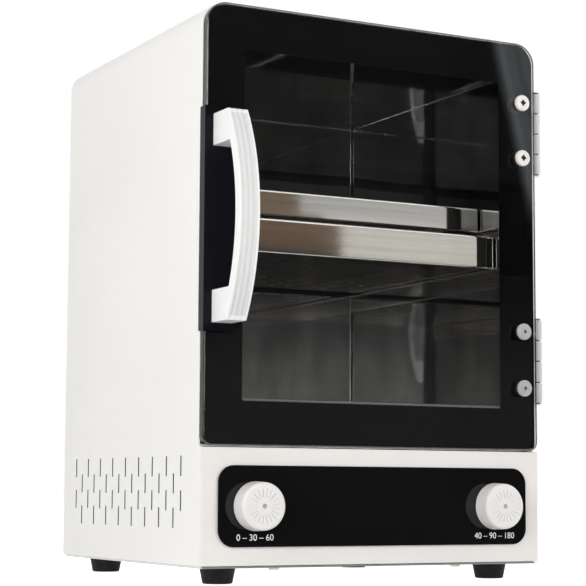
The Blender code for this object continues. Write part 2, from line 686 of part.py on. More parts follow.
def make_inlet(builder, plastic):
    """Three-pin mains inlet: flange, hollow body and its blades, moulded as one."""
    flange = builder.prism("inlet_socket", rounded_rectangle(
        INLET_X - INLET_FLANGE_WIDTH / 2, INLET_X + INLET_FLANGE_WIDTH / 2,
        INLET_Z - INLET_FLANGE_HEIGHT / 2, INLET_Z + INLET_FLANGE_HEIGHT / 2, INLET_CORNER),
        "front", REAR_OUTER_Y + GAP, INLET_BACK_Y, material=plastic)
    half_width = INLET_BODY_WIDTH / 2
    half_height = INLET_BODY_HEIGHT / 2
    body_end = INLET_BACK_Y - INLET_FLANGE_THICKNESS / 2
    body = builder.box("inlet_body", (INLET_X - half_width, INLET_FRONT_Y, INLET_Z - half_height),
                       (INLET_X + half_width, body_end, INLET_Z + half_height))
    floor_y = INLET_BACK_Y - INLET_CAVITY_DEPTH
    cavity = builder.box("inlet_cavity", (INLET_X - half_width + INLET_WALL, floor_y,
                                          INLET_Z - half_height + INLET_WALL),
                         (INLET_X + half_width - INLET_WALL, INLET_BACK_Y + OVERRUN,
                          INLET_Z + half_height - INLET_WALL))
    blades = []
    half_space = BLADE_SPACING / 2
    for across, up in ((-half_space, -BLADE_RAISE), (0, BLADE_RAISE), (half_space, -BLADE_RAISE)):
        centre_x = INLET_X + across
        centre_z = INLET_Z + up
        blades.append(((centre_x - BLADE_WIDTH / 2, floor_y - INLET_WALL / 2, centre_z - BLADE_HEIGHT / 2),
                       (centre_x + BLADE_WIDTH / 2, floor_y + BLADE_LENGTH, centre_z + BLADE_HEIGHT / 2)))
    weld(flange, body)
    cut(flange, cavity)
    weld(flange, many_boxes(builder, "inlet_blades", blades))
    return flange


def glass_screw_centres():
    """Return the front-plane centres of the four screws through the glass."""
    return [(GLASS_SCREW_X, height + GLASS_SCREW_SPACING * side / 2)
            for height in HINGE_HEIGHTS.values() for side in (1, -1)]


def handle_screw_centres():
    """Return the front-plane centres of the two handle screws."""
    return [(HANDLE_CENTRE_X, HANDLE_CENTRE_Z + HANDLE_SCREW_SPACING * side / 2) for side in (1, -1)]


def door_hole_cutters(builder, owner, start, end):
    """Return the helpers that drill the screw holes through one layer of the door."""
    glass = many_pegs(builder, owner + "_hinge_hole_cut", glass_screw_centres(),
                      GLASS_SCREW_RADIUS + GAP, "front", start, end, "door")
    handle = many_pegs(builder, owner + "_handle_hole_cut", handle_screw_centres(),
                       HANDLE_SCREW_RADIUS + GAP, "front", start, end, "door")
    return glass, handle


def make_door_glass(builder, glass):
    """Glass pane with polished chamfers and round upper corners."""
    def ring(inset, depth):
        outline = rounded_rectangle(-DOOR_HALF + inset, DOOR_HALF - inset, DOOR_LOW_Z + inset,
                                    DOOR_TOP_Z - inset, GLASS_LOWER_CORNER - inset,
                                    GLASS_TOP_CORNER - inset)
        return ring_at(outline, "front", depth)

    pane = builder.loft("door_glass", [
        ring(GLASS_CHAMFER, GLASS_FRONT_Y), ring(0, GLASS_FRONT_Y + GLASS_CHAMFER),
        ring(0, GLASS_BACK_Y - GLASS_CHAMFER), ring(GLASS_CHAMFER, GLASS_BACK_Y),
    ], "door", glass)
    cut(pane, *door_hole_cutters(builder, "glass", GLASS_FRONT_Y - OVERRUN, GLASS_BACK_Y + OVERRUN))
    return pane


def make_door_border(builder, black):
    """Black printed border behind the glass, open at the window."""
    sheet = builder.prism("door_border", rounded_rectangle(
        -DOOR_HALF + BORDER_INSET, DOOR_HALF - BORDER_INSET, DOOR_LOW_Z + BORDER_INSET,
        DOOR_TOP_Z - BORDER_INSET, GLASS_LOWER_CORNER - BORDER_INSET, GLASS_TOP_CORNER - BORDER_INSET),
        "front", BORDER_FRONT_Y, BORDER_BACK_Y, "door", black)
    window = builder.prism("window_cut", rounded_rectangle(
        BORDER_SIDE - DOOR_HALF, DOOR_HALF - BORDER_SIDE, DOOR_LOW_Z + BORDER_END,
        DOOR_TOP_Z - BORDER_END, WINDOW_CORNER),
        "front", BORDER_FRONT_Y - OVERRUN, BORDER_BACK_Y + OVERRUN, "door")
    cut(sheet, window, *door_hole_cutters(builder, "border", BORDER_FRONT_Y - OVERRUN,
                                          BORDER_BACK_Y + OVERRUN))
    return sheet


def make_handle_bracket(builder, dark_steel):
    """Plate that wraps the glass edge behind the handle."""
    low = HANDLE_CENTRE_Z - HANDLE_LENGTH / 2 - BRACKET_MARGIN
    high = HANDLE_CENTRE_Z + HANDLE_LENGTH / 2 + BRACKET_MARGIN
    plate = builder.prism("handle_bracket", right_rounded(
        BRACKET_LEFT_X, BRACKET_LEFT_X + BRACKET_WIDTH, low, high, BRACKET_CORNER),
        "front", BRACKET_FRONT_Y, BRACKET_BACK_Y, "door", dark_steel)
    wing = builder.box("bracket_wing", (BRACKET_LEFT_X, BRACKET_FRONT_Y + BRACKET_SHEET / 2, low),
                       (BRACKET_LEFT_X + BRACKET_SHEET, GLASS_BACK_Y, high), "door")
    weld(plate, wing)
    cut(plate, many_pegs(builder, "bracket_hole_cut", handle_screw_centres(),
                         HANDLE_SCREW_RADIUS + GAP, "front", BRACKET_FRONT_Y - OVERRUN,
                         BRACKET_BACK_Y + OVERRUN, "door"))
    return plate


def right_rounded(left, right, low, high, radius):
    """Return a rectangle's outline whose right corners are round."""
    points = [(left, low)]
    for up, start in ((low + radius, 3 * pi / 2), (high - radius, 0)):
        for step in range(ARC_STEPS + 1):
            turn = start + pi / 2 * step / ARC_STEPS
            points.append((right - radius + radius * cos(turn), up + radius * sin(turn)))
    points.append((left, high))
    return points


def handle_outline(inset, flute):
    """Return the handle's side outline: two legs and a bowed bar, drawn in by an inset.

    The bar's outer and inner faces are arcs about one centre. A flute lowers only the outer face.
    """
    centre_y = HANDLE_FRONT_Y + HANDLE_ARC_RADIUS
    half = HANDLE_LENGTH / 2 - inset
    leg = HANDLE_LENGTH / 2 - HANDLE_LEG + inset
    outer = HANDLE_ARC_RADIUS - inset - flute
    inner = HANDLE_ARC_RADIUS - HANDLE_BAR + inset
    points = [(HANDLE_BACK_Y, half)]
    for radius, reach, way in ((outer, half, 1), (inner, leg, -1)):
        if way < 0:
            points += [(HANDLE_BACK_Y, -half), (HANDLE_BACK_Y, -leg)]
        for step in range(HANDLE_ARC_STEPS + 1):
            up = way * reach * (1 - 2 * step / HANDLE_ARC_STEPS)
            points.append((centre_y - sqrt(radius ** 2 - up ** 2), up))
    points.append((HANDLE_BACK_Y, leg))
    return [(along, HANDLE_CENTRE_Z + up) for along, up in points]


def make_handle(builder, white):
    """Bowed handle with rounded edges and three shallow flutes along its outer face."""
    half = HANDLE_WIDTH / 2
    flat = half - HANDLE_EDGE
    stations = [(-half, HANDLE_EDGE, 0), (-flat, 0, 0)]
    flute_shares = (-0.75, -0.5, -0.25, 0, 0.25, 0.5, 0.75)
    for index, share in enumerate(flute_shares):
        stations.append((flat * share, 0, HANDLE_FLUTE if index % 2 else 0))
    stations += [(flat, 0, 0), (half, HANDLE_EDGE, 0)]
    rings = [ring_at(handle_outline(inset, flute), "side", HANDLE_CENTRE_X + across)
             for across, inset, flute in stations]
    handle = builder.loft("handle", rings, "door", white)
    cut(handle, many_pegs(builder, "handle_hole_cut", handle_screw_centres(),
                          HANDLE_SCREW_RADIUS + GAP, "front", HANDLE_BACK_Y + OVERRUN,
                          HANDLE_BACK_Y - HANDLE_SCREW_BITE - GAP, "door"))
    return handle


def make_handle_screws(builder, steel):
    """Two screws from behind the glass into the handle's legs."""
    for name, centre in zip(("upper", "lower"), handle_screw_centres()):
        head_front = BORDER_BACK_Y + GAP
        builder.turned("handle_screw_" + name, (
            (HANDLE_SCREW_HEAD, head_front + HANDLE_SCREW_HEAD_HEIGHT), (HANDLE_SCREW_HEAD, head_front),
            (HANDLE_SCREW_RADIUS, head_front), (HANDLE_SCREW_RADIUS, HANDLE_BACK_Y - HANDLE_SCREW_BITE),
        ), centre, "front", "door", steel, steps=SMALL_STEPS)


def knuckle_spans(centre_z, own):
    """Return the height spans of one leaf's knuckles, counted from the top."""
    pitch = HINGE_LENGTH / HINGE_KNUCKLES
    spans = []
    for index in range(own, HINGE_KNUCKLES, 2):
        high = centre_z + HINGE_LENGTH / 2 - pitch * index
        spans.append((high - pitch + GAP / 2, high - GAP / 2))
    return spans


def make_leaf(builder, name, carrier, plate_corners, tab_corners, centre_z, own, steel):
    """Make a hinge leaf from its plate, its tabs and its knuckles, bored for the pin."""
    low_z = centre_z - HINGE_LENGTH / 2
    high_z = centre_z + HINGE_LENGTH / 2
    (x0, y0), (x1, y1) = plate_corners
    leaf = builder.box(name, (x0, y0, low_z), (x1, y1, high_z), carrier, steel)
    spans = knuckle_spans(centre_z, own)
    (tab_x0, tab_y0), (tab_x1, tab_y1) = tab_corners
    tabs = many_boxes(builder, name + "_tabs", [
        ((tab_x0, tab_y0, low), (tab_x1, tab_y1, high)) for low, high in spans], carrier)
    barrel = bmesh.new()
    for low, high in spans:
        add_loft(barrel, [circle_ring((HINGE_AXIS_X, HINGE_AXIS_Y), HINGE_BARREL_RADIUS, "top", depth)
                          for depth in (low, high)])
    weld(leaf, tabs, builder.place(barrel, name + "_barrel", carrier))
    cut(leaf, many_pegs(builder, name + "_bore_cut", ((HINGE_AXIS_X, HINGE_AXIS_Y),),
                        HINGE_BORE_RADIUS, "top", low_z - OVERRUN, high_z + OVERRUN, carrier,
                        ROUND_STEPS))
    return leaf


def make_hinges(builder, steel):
    """Two butt hinges: one leaf behind the glass, one on the cabinet's side, a pin between."""
    wall_middle = (HINGE_BARREL_RADIUS + HINGE_BORE_RADIUS) / 2
    side_face = HALF_WIDTH + GAP
    door_edge = side_face - GAP - GAP
    for place, height in HINGE_HEIGHTS.items():
        door_leaf = make_leaf(
            builder, "hinge_" + place + "_door_leaf", "door",
            ((HINGE_AXIS_X - HINGE_LEAF_WIDTH, LEAF_FRONT_Y), (door_edge, LEAF_BACK_Y)),
            ((door_edge - HINGE_LEAF_SHEET, LEAF_FRONT_Y), (HINGE_AXIS_X - wall_middle, LEAF_BACK_Y)),
            height, 0, steel)
        centres = [(GLASS_SCREW_X, height + GLASS_SCREW_SPACING * side / 2) for side in (1, -1)]
        cut(door_leaf, many_pegs(builder, door_leaf.name + "_screw_cut", centres,
                                 GLASS_SCREW_RADIUS + GAP, "front", LEAF_FRONT_Y - OVERRUN,
                                 LEAF_BACK_Y + OVERRUN, "door"))
        clear_y = HINGE_AXIS_Y + HINGE_BARREL_RADIUS + GAP
        side_leaf = make_leaf(
            builder, "hinge_" + place + "_side_leaf", "cabinet",
            ((side_face, clear_y), (side_face + HINGE_LEAF_SHEET, HINGE_AXIS_Y + HINGE_LEAF_WIDTH)),
            ((side_face, HINGE_AXIS_Y), (side_face + HINGE_LEAF_SHEET, clear_y + HINGE_LEAF_SHEET)),
            height, 1, steel)
        rivet_y = (clear_y + HINGE_AXIS_Y + HINGE_LEAF_WIDTH) / 2
        rivets = many_pegs(builder, side_leaf.name + "_rivets", [
            (rivet_y, height + HINGE_RIVET_SPACING * side / 2) for side in (1, -1)],
            HINGE_RIVET_RADIUS, "side", side_face + HINGE_LEAF_SHEET / 2,
            side_face + HINGE_LEAF_SHEET + HINGE_RIVET_HEIGHT)
        weld(side_leaf, rivets)
        half = HINGE_LENGTH / 2 + GAP
        pin = HINGE_BORE_RADIUS - HINGE_PIN_CLEARANCE
        builder.turned("hinge_" + place + "_pin", (
            (HINGE_PIN_HEAD, height - half - HINGE_PIN_HEAD_HEIGHT), (HINGE_PIN_HEAD, height - half),
            (pin, height - half), (pin, height + half), (HINGE_PIN_HEAD, height + half),
            (HINGE_PIN_HEAD, height + half + HINGE_PIN_HEAD_HEIGHT),
        ), (HINGE_AXIS_X, HINGE_AXIS_Y), "top", material=steel)


def make_glass_screws(builder, steel):
    """Four cross-head screws that clamp the glass to the hinge leaves."""
    names = ("upper_top", "upper_bottom", "lower_top", "lower_bottom")
    head_back = GLASS_FRONT_Y - GAP
    head_front = head_back - GLASS_SCREW_HEAD_HEIGHT
    for name, centre in zip(names, glass_screw_centres()):
        rim = GLASS_SCREW_HEAD - GLASS_SCREW_HEAD_HEIGHT / 2
        screw = builder.turned("glass_screw_" + name, (
            (rim, head_front), (GLASS_SCREW_HEAD, head_back - GLASS_SCREW_HEAD_HEIGHT / 3),
            (GLASS_SCREW_HEAD, head_back), (GLASS_SCREW_RADIUS, head_back),
            (GLASS_SCREW_RADIUS, LEAF_BACK_Y + GLASS_SCREW_TAIL),
        ), centre, "front", "door", steel, steps=ROUND_STEPS)
        across, up = centre
        near = head_front - OVERRUN
        deep = head_front + CROSS_DEPTH
        arms = many_boxes(builder, screw.name + "_slot_cut", [
            ((across - CROSS_LENGTH / 2, near, up - CROSS_WIDTH / 2),
             (across + CROSS_LENGTH / 2, deep, up + CROSS_WIDTH / 2))], "door")
        second = many_boxes(builder, screw.name + "_cross_cut", [
            ((across - CROSS_WIDTH / 2, near, up - CROSS_LENGTH / 2),
             (across + CROSS_WIDTH / 2, deep, up + CROSS_LENGTH / 2))], "door")
        cut(screw, arms, second)


def make_front_frame(builder, steel):
    """Front frame: the face that the gasket and the door close on."""
    side = SHELL_INNER_X - GAP
    frame = builder.prism("front_frame", rounded_rectangle(
        -side, side, PANEL_TOP_Z - PANEL_SHEET, SHELL_INNER_TOP_Z - GAP, GAP, SHELL_CORNER - SHELL_SHEET),
        "front", FRAME_FRONT_Y, FRAME_BACK_Y, material=steel)
    opening = builder.prism("frame_opening_cut", rounded_rectangle(
        -CHAMBER_HALF, CHAMBER_HALF, CHAMBER_FLOOR_Z, CHAMBER_TOP_Z, CHAMBER_CORNER),
        "front", FRAME_FRONT_Y - OVERRUN, FRAME_BACK_Y + OVERRUN)
    relief = many_pegs(builder, "frame_relief_cut", glass_screw_centres() + handle_screw_centres(),
                       CLEARANCE_HOLE_RADIUS, "front", FRAME_FRONT_Y - OVERRUN, FRAME_BACK_Y + OVERRUN)
    magnet = many_pegs(builder, "frame_magnet_cut", ((CATCH_X, CATCH_Z),), MAGNET_RADIUS + GAP,
                       "front", FRAME_FRONT_Y - OVERRUN, FRAME_BACK_Y + OVERRUN)
    cut(frame, opening, relief, magnet)
    return frame


def make_gasket(builder, silicone):
    """Silicone gasket round the chamber's mouth."""
    def outline(offset, radius):
        return rounded_rectangle(-CHAMBER_HALF - offset, CHAMBER_HALF + offset,
                                 CHAMBER_FLOOR_Z - offset, CHAMBER_TOP_Z + offset, radius)

    inner = outline(GASKET_OFFSET, GASKET_CORNER - GASKET_WIDTH / 2)
    outer = outline(GASKET_OFFSET + GASKET_WIDTH, GASKET_CORNER)
    front = BORDER_BACK_Y + GAP
    back = FRAME_FRONT_Y - GAP
    rings = [ring_at(inner, "front", front), ring_at(outer, "front", front),
             ring_at(outer, "front", back), ring_at(inner, "front", back)]
    return builder.loft("door_gasket", rings, material=silicone, closed=True)


def make_catch(builder, steel, magnet):
    """Magnetic catch in the frame and its strike disc behind the glass."""
    centre = (CATCH_X, CATCH_Z)
    face = FRAME_FRONT_Y - GAP
    builder.turned("catch_magnet", ((MAGNET_RADIUS, face), (MAGNET_RADIUS, face + MAGNET_LENGTH)),
                   centre, "front", material=magnet)
    builder.turned("catch_strike", ((STRIKE_RADIUS, LEAF_FRONT_Y), (STRIKE_RADIUS, face - GAP)),
                   centre, "front", "door", steel)


def make_liner(builder, mirror):
    """Chamber liner: a polished box open at the front."""
    def ring(offset, depth):
        outline = rounded_rectangle(-CHAMBER_HALF - offset, CHAMBER_HALF + offset,
                                    CHAMBER_FLOOR_Z - offset, CHAMBER_TOP_Z + offset,
                                    CHAMBER_CORNER + offset)
        return ring_at(outline, "front", depth)

    back = CHAMBER_BACK_Y + LINER_SHEET
    return builder.loft("chamber_liner", [
        ring(LINER_SHEET, back), ring(LINER_SHEET, LINER_FRONT_Y), ring(0, LINER_FRONT_Y),
        ring(0, CHAMBER_BACK_Y)], material=mirror)


def make_insulation(builder, wool):
    """Insulation: a jacket over the liner's sides, top and back, and a board below it."""
    side = SHELL_INNER_X - GAP
    jacket = builder.prism("insulation_jacket", rounded_rectangle(
        -side, side, BOARD_TOP_Z + GAP, SHELL_INNER_TOP_Z - GAP, GAP, SHELL_CORNER - SHELL_SHEET),
        "front", JACKET_FRONT_Y, JACKET_BACK_Y, material=wool)
    clear = LINER_SHEET + GAP
    hollow = builder.box("jacket_hollow", (-CHAMBER_HALF - clear, JACKET_FRONT_Y - OVERRUN, DIVIDER_Z),
                         (CHAMBER_HALF + clear, CHAMBER_BACK_Y + clear, CHAMBER_TOP_Z + clear))
    cut(jacket, hollow)
    board = builder.box("insulation_board", (-side, JACKET_FRONT_Y, BOARD_LOW_Z),
                        (side, JACKET_BACK_Y, BOARD_TOP_Z), material=wool)
    cut(board, *riser_cutters(builder, "board"))


def riser_cutters(builder, owner):
    """Return the helper that passes the sensor's tube and the heater's wire up through the floor."""
    heights = (DIVIDER_Z - OVERRUN, BOARD_TOP_Z + OVERRUN)
    return (
        many_pegs(builder, owner + "_tube_cut", ((BULB_X, CAPILLARY_Y),), WIRE_HOLE_RADIUS, "top", *heights),
        many_pegs(builder, owner + "_wire_cut", ((HEATER_OUTER_X, HEATER_END_Y + WIRE_BEND),),
                  WIRE_HOLE_RADIUS, "top", *heights),
    )


def make_divider(builder, steel):
    """Divider plate between the chamber and the controls."""
    side = SHELL_INNER_X - GAP
    plate = builder.box("divider_plate", (-side, FRAME_BACK_Y + GAP, DIVIDER_Z),
                        (side, REAR_INNER_Y - GAP, DIVIDER_Z + DIVIDER_SHEET), material=steel)
    cut(plate, *riser_cutters(builder, "divider"))


def make_rails(builder, steel):
    """Four angle rails on the chamber's walls, each with a leg that hangs down."""
    wall = CHAMBER_HALF - GAP
    front = LINER_FRONT_Y + RAIL_END_SPACE
    back = CHAMBER_BACK_Y - RAIL_END_SPACE
    for level, tray_z, drop in (("lower", LOWER_TRAY_Z, LOWER_RAIL_DROP), ("upper", UPPER_TRAY_Z, UPPER_RAIL_DROP)):
        top = tray_z - GAP
        low = top - RAIL_SHEET
        for side, way in (("left", -1), ("right", 1)):
            outline = [(way * (wall - RAIL_LEDGE), top), (way * wall, top), (way * wall, low - drop),
                       (way * (wall - RAIL_SHEET), low - drop), (way * (wall - RAIL_SHEET), low),
                       (way * (wall - RAIL_LEDGE), low)]
            builder.prism("rail_" + level + "_" + side, outline, "front", front, back, material=steel)


def make_tray(builder, name, front_y, low_z, height, perforated, steel):
    """Make an open tray of folded sheet, with holes through its floor if it is perforated."""
    half = TRAY_HALF

    def ring(inset, depth):
        outline = rounded_rectangle(-half + inset, half - inset, front_y + inset,
                                    front_y + TRAY_DEPTH - inset, TRAY_CORNER + TRAY_BEND - inset)
        return ring_at(outline, "top", depth)

    top = low_z + height
    floor = low_z + TRAY_SHEET
    tray = builder.loft(name, [
        ring(TRAY_BEND, low_z), ring(0, low_z + TRAY_BEND), ring(0, top), ring(TRAY_SHEET, top),
        ring(TRAY_SHEET, low_z + TRAY_BEND), ring(TRAY_BEND, floor)], name, steel)
    if perforated:
        centres = []
        across_count = int(2 * (TRAY_HALF - TRAY_HOLE_MARGIN) / TRAY_HOLE_PITCH) + 1
        along_count = int((TRAY_DEPTH - 2 * TRAY_HOLE_MARGIN) / TRAY_HOLE_PITCH) + 1
        for row in range(along_count):
            along = front_y + TRAY_DEPTH / 2 + TRAY_HOLE_PITCH * (row - (along_count - 1) / 2)
            for column in range(across_count):
                centres.append((TRAY_HOLE_PITCH * (column - (across_count - 1) / 2), along))
        cut(tray, many_pegs(builder, name + "_hole_cut", centres, TRAY_HOLE_RADIUS, "top",
                            low_z - OVERRUN, floor + OVERRUN, name, TRAY_HOLE_STEPS))
    return tray


def make_control_plate(builder, gloss_black):
    """Gloss black plate behind the knobs."""
    plate = builder.prism("control_plate", rounded_rectangle(
        -PLATE_HALF, PLATE_HALF, PLATE_LOW_Z, PLATE_TOP_Z, PLATE_CORNER),
        "front", PLATE_FRONT_Y, PLATE_BACK_Y, material=gloss_black)
    cut(plate, many_pegs(builder, "plate_shaft_cut", SHAFT_CENTRES, SHAFT_RADIUS + GAP, "front",
                         PLATE_FRONT_Y - OVERRUN, PLATE_BACK_Y + OVERRUN))
    return plate


def make_knob(builder, name, centre_x, white):
    """Make a plain round knob with engraved rays and a centre dimple, bored for its shaft."""
    knob = builder.turned(name, (
        (KNOB_RADIUS, KNOB_BACK_Y), (KNOB_FACE_RADIUS, KNOB_FRONT_Y + KNOB_EDGE),
        (KNOB_FACE_RADIUS - KNOB_EDGE / 3, KNOB_FRONT_Y + KNOB_EDGE / 3),
        (KNOB_FACE_RADIUS - KNOB_EDGE, KNOB_FRONT_Y), (KNOB_DIMPLE_RADIUS, KNOB_FRONT_Y),
        (KNOB_DIMPLE_RADIUS / 2, KNOB_FRONT_Y + KNOB_DIMPLE_DEPTH),
    ), (centre_x, KNOB_Z), "front", name, white, steps=2 * ROUND_STEPS)
    bore = many_pegs(builder, name + "_bore_cut", ((centre_x, KNOB_Z),), SHAFT_RADIUS + GAP, "front",
                     KNOB_BACK_Y + OVERRUN, KNOB_BACK_Y - SHAFT_BITE - GAP, name)
    rays = bmesh.new()
    start, end = (KNOB_FACE_RADIUS * share for share in KNOB_LINE_SHARES)
    for index in range(KNOB_LINE_COUNT):
        turn = 2 * pi * (index + 1 / 2) / KNOB_LINE_COUNT
        ray = Vector((cos(turn), 0, sin(turn)))
        beside = Vector((-sin(turn), 0, cos(turn))) * KNOB_LINE_WIDTH / 2
        middle = Vector((centre_x, 0, KNOB_Z))
        rings = []
        for depth in (KNOB_FRONT_Y - OVERRUN, KNOB_FRONT_Y + KNOB_LINE_DEPTH):
            level = middle + Vector((0, depth, 0))
            rings.append([level + ray * start - beside, level + ray * end - beside,
                          level + ray * end + beside, level + ray * start + beside])
        add_loft(rays, rings)
    cut(knob, bore, builder.place(rays, name + "_ray_cut", name))
    return knob


def make_controls(builder, white, steel, plastic):
    """Knobs on their shafts, and the timer and thermostat behind the panel."""
    for name, centre_x in (("timer", -KNOB_X), ("temperature", KNOB_X)):
        carrier = name + "_knob"
        make_knob(builder, carrier, centre_x, white)
        builder.turned(name + "_shaft", (
            (SHAFT_RADIUS, PANEL_SHEET), (SHAFT_RADIUS, KNOB_BACK_Y - SHAFT_BITE),
        ), (centre_x, KNOB_Z), "front", carrier, steel, steps=SMALL_STEPS)
    builder.box("timer_body", (-KNOB_X - TIMER_WIDTH / 2, BODY_FRONT_Y, KNOB_Z - TIMER_HEIGHT / 2),
                (-KNOB_X + TIMER_WIDTH / 2, BODY_FRONT_Y + TIMER_DEPTH, KNOB_Z + TIMER_HEIGHT / 2),
                material=plastic)
    builder.turned("thermostat_body", (
        (THERMOSTAT_RADIUS - BODY_CHAMFER, BODY_FRONT_Y), (THERMOSTAT_RADIUS, BODY_FRONT_Y + BODY_CHAMFER),
        (THERMOSTAT_RADIUS, BODY_FRONT_Y + THERMOSTAT_DEPTH)), (KNOB_X, KNOB_Z), "front",
        material=plastic)


def make_heater(builder, element_steel, steel):
    """Tubular heater under the chamber, the two bars that carry it, and the cut-out."""
    outer = HEATER_OUTER_X
    inner = HEATER_INNER_X
    route = [(-outer, HEATER_END_Y), (-outer, HEATER_FRONT_Y), (-inner, HEATER_FRONT_Y),
             (-inner, HEATER_LOOP_Y), (inner, HEATER_LOOP_Y), (inner, HEATER_FRONT_Y),
             (outer, HEATER_FRONT_Y), (outer, HEATER_END_Y)]
    builder.tube("heater_element", [(x, y, HEATER_Z) for x, y in route], HEATER_RADIUS,
                 HEATER_BEND, "cabinet", element_steel)
    low = HEATER_Z - HEATER_RADIUS - GAP - BAR_SHEET
    half = outer + HEATER_RADIUS + BAR_MARGIN
    inner_half = half - BAR_SHEET
    outline = [(-half, low), (half, low), (half, CHAMBER_UNDERSIDE_Z), (inner_half, CHAMBER_UNDERSIDE_Z),
               (inner_half, low + BAR_SHEET), (-inner_half, low + BAR_SHEET),
               (-inner_half, CHAMBER_UNDERSIDE_Z), (-half, CHAMBER_UNDERSIDE_Z)]
    for name, start in (("front", BAR_START), ("rear", BAR_START + BAR_SPACING)):
        along = HEATER_FRONT_Y + start
        builder.prism("heater_bar_" + name, outline, "front", along, along + BAR_WIDTH, material=steel)
    builder.turned("thermal_cutout", (
        (CUTOUT_RADIUS / 2, CHAMBER_UNDERSIDE_Z - CUTOUT_HEIGHT),
        (CUTOUT_RADIUS, CHAMBER_UNDERSIDE_Z - CUTOUT_HEIGHT), (CUTOUT_RADIUS, CHAMBER_UNDERSIDE_Z),
    ), (0, HEATER_FRONT_Y + CUTOUT_START), "top", material=steel)


def make_sensor(builder, copper):
    """Thermostat's sensor: a thin tube that widens into a bulb under the chamber floor."""
    thermostat_top = KNOB_Z + THERMOSTAT_RADIUS + GAP
    bends = rounded_route([(CAPILLARY_Y, thermostat_top), (CAPILLARY_Y, HEATER_Z),
                           (BULB_FRONT_Y, HEATER_Z)], CAPILLARY_BEND)
    stations = [(point, CAPILLARY_RADIUS) for point in bends]
    bulb_end = BULB_FRONT_Y + BULB_LENGTH
    stations += [(Vector((BULB_FRONT_Y + BULB_RADIUS, HEATER_Z)), BULB_RADIUS),
                 (Vector((bulb_end - BULB_RADIUS, HEATER_Z)), BULB_RADIUS),
                 (Vector((bulb_end, HEATER_Z)), CAPILLARY_RADIUS)]
    rings = []
    for index, (point, radius) in enumerate(stations):
        before = stations[max(index - 1, 0)][0]
        after = stations[min(index + 1, len(stations) - 1)][0]
        heading = (after - before).normalized()
        beside = Vector((0, -heading.y, heading.x))
        centre = Vector((BULB_X, point.x, point.y))
        turns = [2 * pi * step / SMALL_STEPS for step in range(SMALL_STEPS)]
        rings.append([centre + Vector((cos(turn), 0, 0)) * radius + beside * radius * sin(turn)
                      for turn in turns])
    builder.loft("sensor_bulb", rings, material=copper)


def make_bulb_clip(builder, steel):
    """Clip that holds the sensor bulb under the chamber floor."""
    start = BULB_FRONT_Y + (BULB_LENGTH - CLIP_WIDTH) / 2
    end = start + CLIP_WIDTH
    inner = BULB_RADIUS + GAP
    outer = inner + CLIP_SHEET
    profile = ((inner, start), (outer, start), (outer, end), (inner, end))
    clip = builder.turned("bulb_clip", profile, (BULB_X, HEATER_Z), "front", material=steel, closed=True,
                          steps=ROUND_STEPS)
    tab = builder.box("bulb_clip_tab", (BULB_X - outer, start + GAP, HEATER_Z + inner + CLIP_SHEET / 2),
                      (BULB_X + outer, end - GAP, CHAMBER_UNDERSIDE_Z))
    weld(clip, tab)
    return clip


def make_wiring(builder, plastic, wire):
    """Terminal block on the base, and the wires between the inlet, the timer and the heater."""
    builder.box("terminal_block", (-BLOCK_WIDTH / 2, BLOCK_Y, BLOCK_LOW_Z),
                (BLOCK_WIDTH / 2, BLOCK_Y + BLOCK_DEPTH, BLOCK_LOW_Z + BLOCK_HEIGHT), material=plastic)
    level = BLOCK_LOW_Z + BLOCK_HEIGHT / 2
    along = BLOCK_Y + BLOCK_DEPTH / 2
    block_side = BLOCK_WIDTH / 2 + GAP
    builder.tube("wire_inlet", [
        (INLET_X, INLET_FRONT_Y - GAP, INLET_Z), (INLET_X, along, INLET_Z), (INLET_X, along, level),
        (block_side, along, level)], WIRE_RADIUS, WIRE_BEND, "cabinet", wire)
    builder.tube("wire_timer", [
        (-KNOB_X, BODY_FRONT_Y + TIMER_DEPTH + GAP, KNOB_Z), (-KNOB_X, along, KNOB_Z),
        (-KNOB_X, along, level), (-block_side, along, level)], WIRE_RADIUS, WIRE_BEND, "cabinet", wire)
    riser_y = HEATER_END_Y + WIRE_BEND
    builder.tube("wire_heater", [
        (0, BLOCK_Y + BLOCK_DEPTH + GAP, level), (0, riser_y, level), (HEATER_OUTER_X, riser_y, level),
        (HEATER_OUTER_X, riser_y, HEATER_Z), (HEATER_OUTER_X, HEATER_END_Y + GAP, HEATER_Z)],
        WIRE_RADIUS, WIRE_BEND / 2, "cabinet", wire)


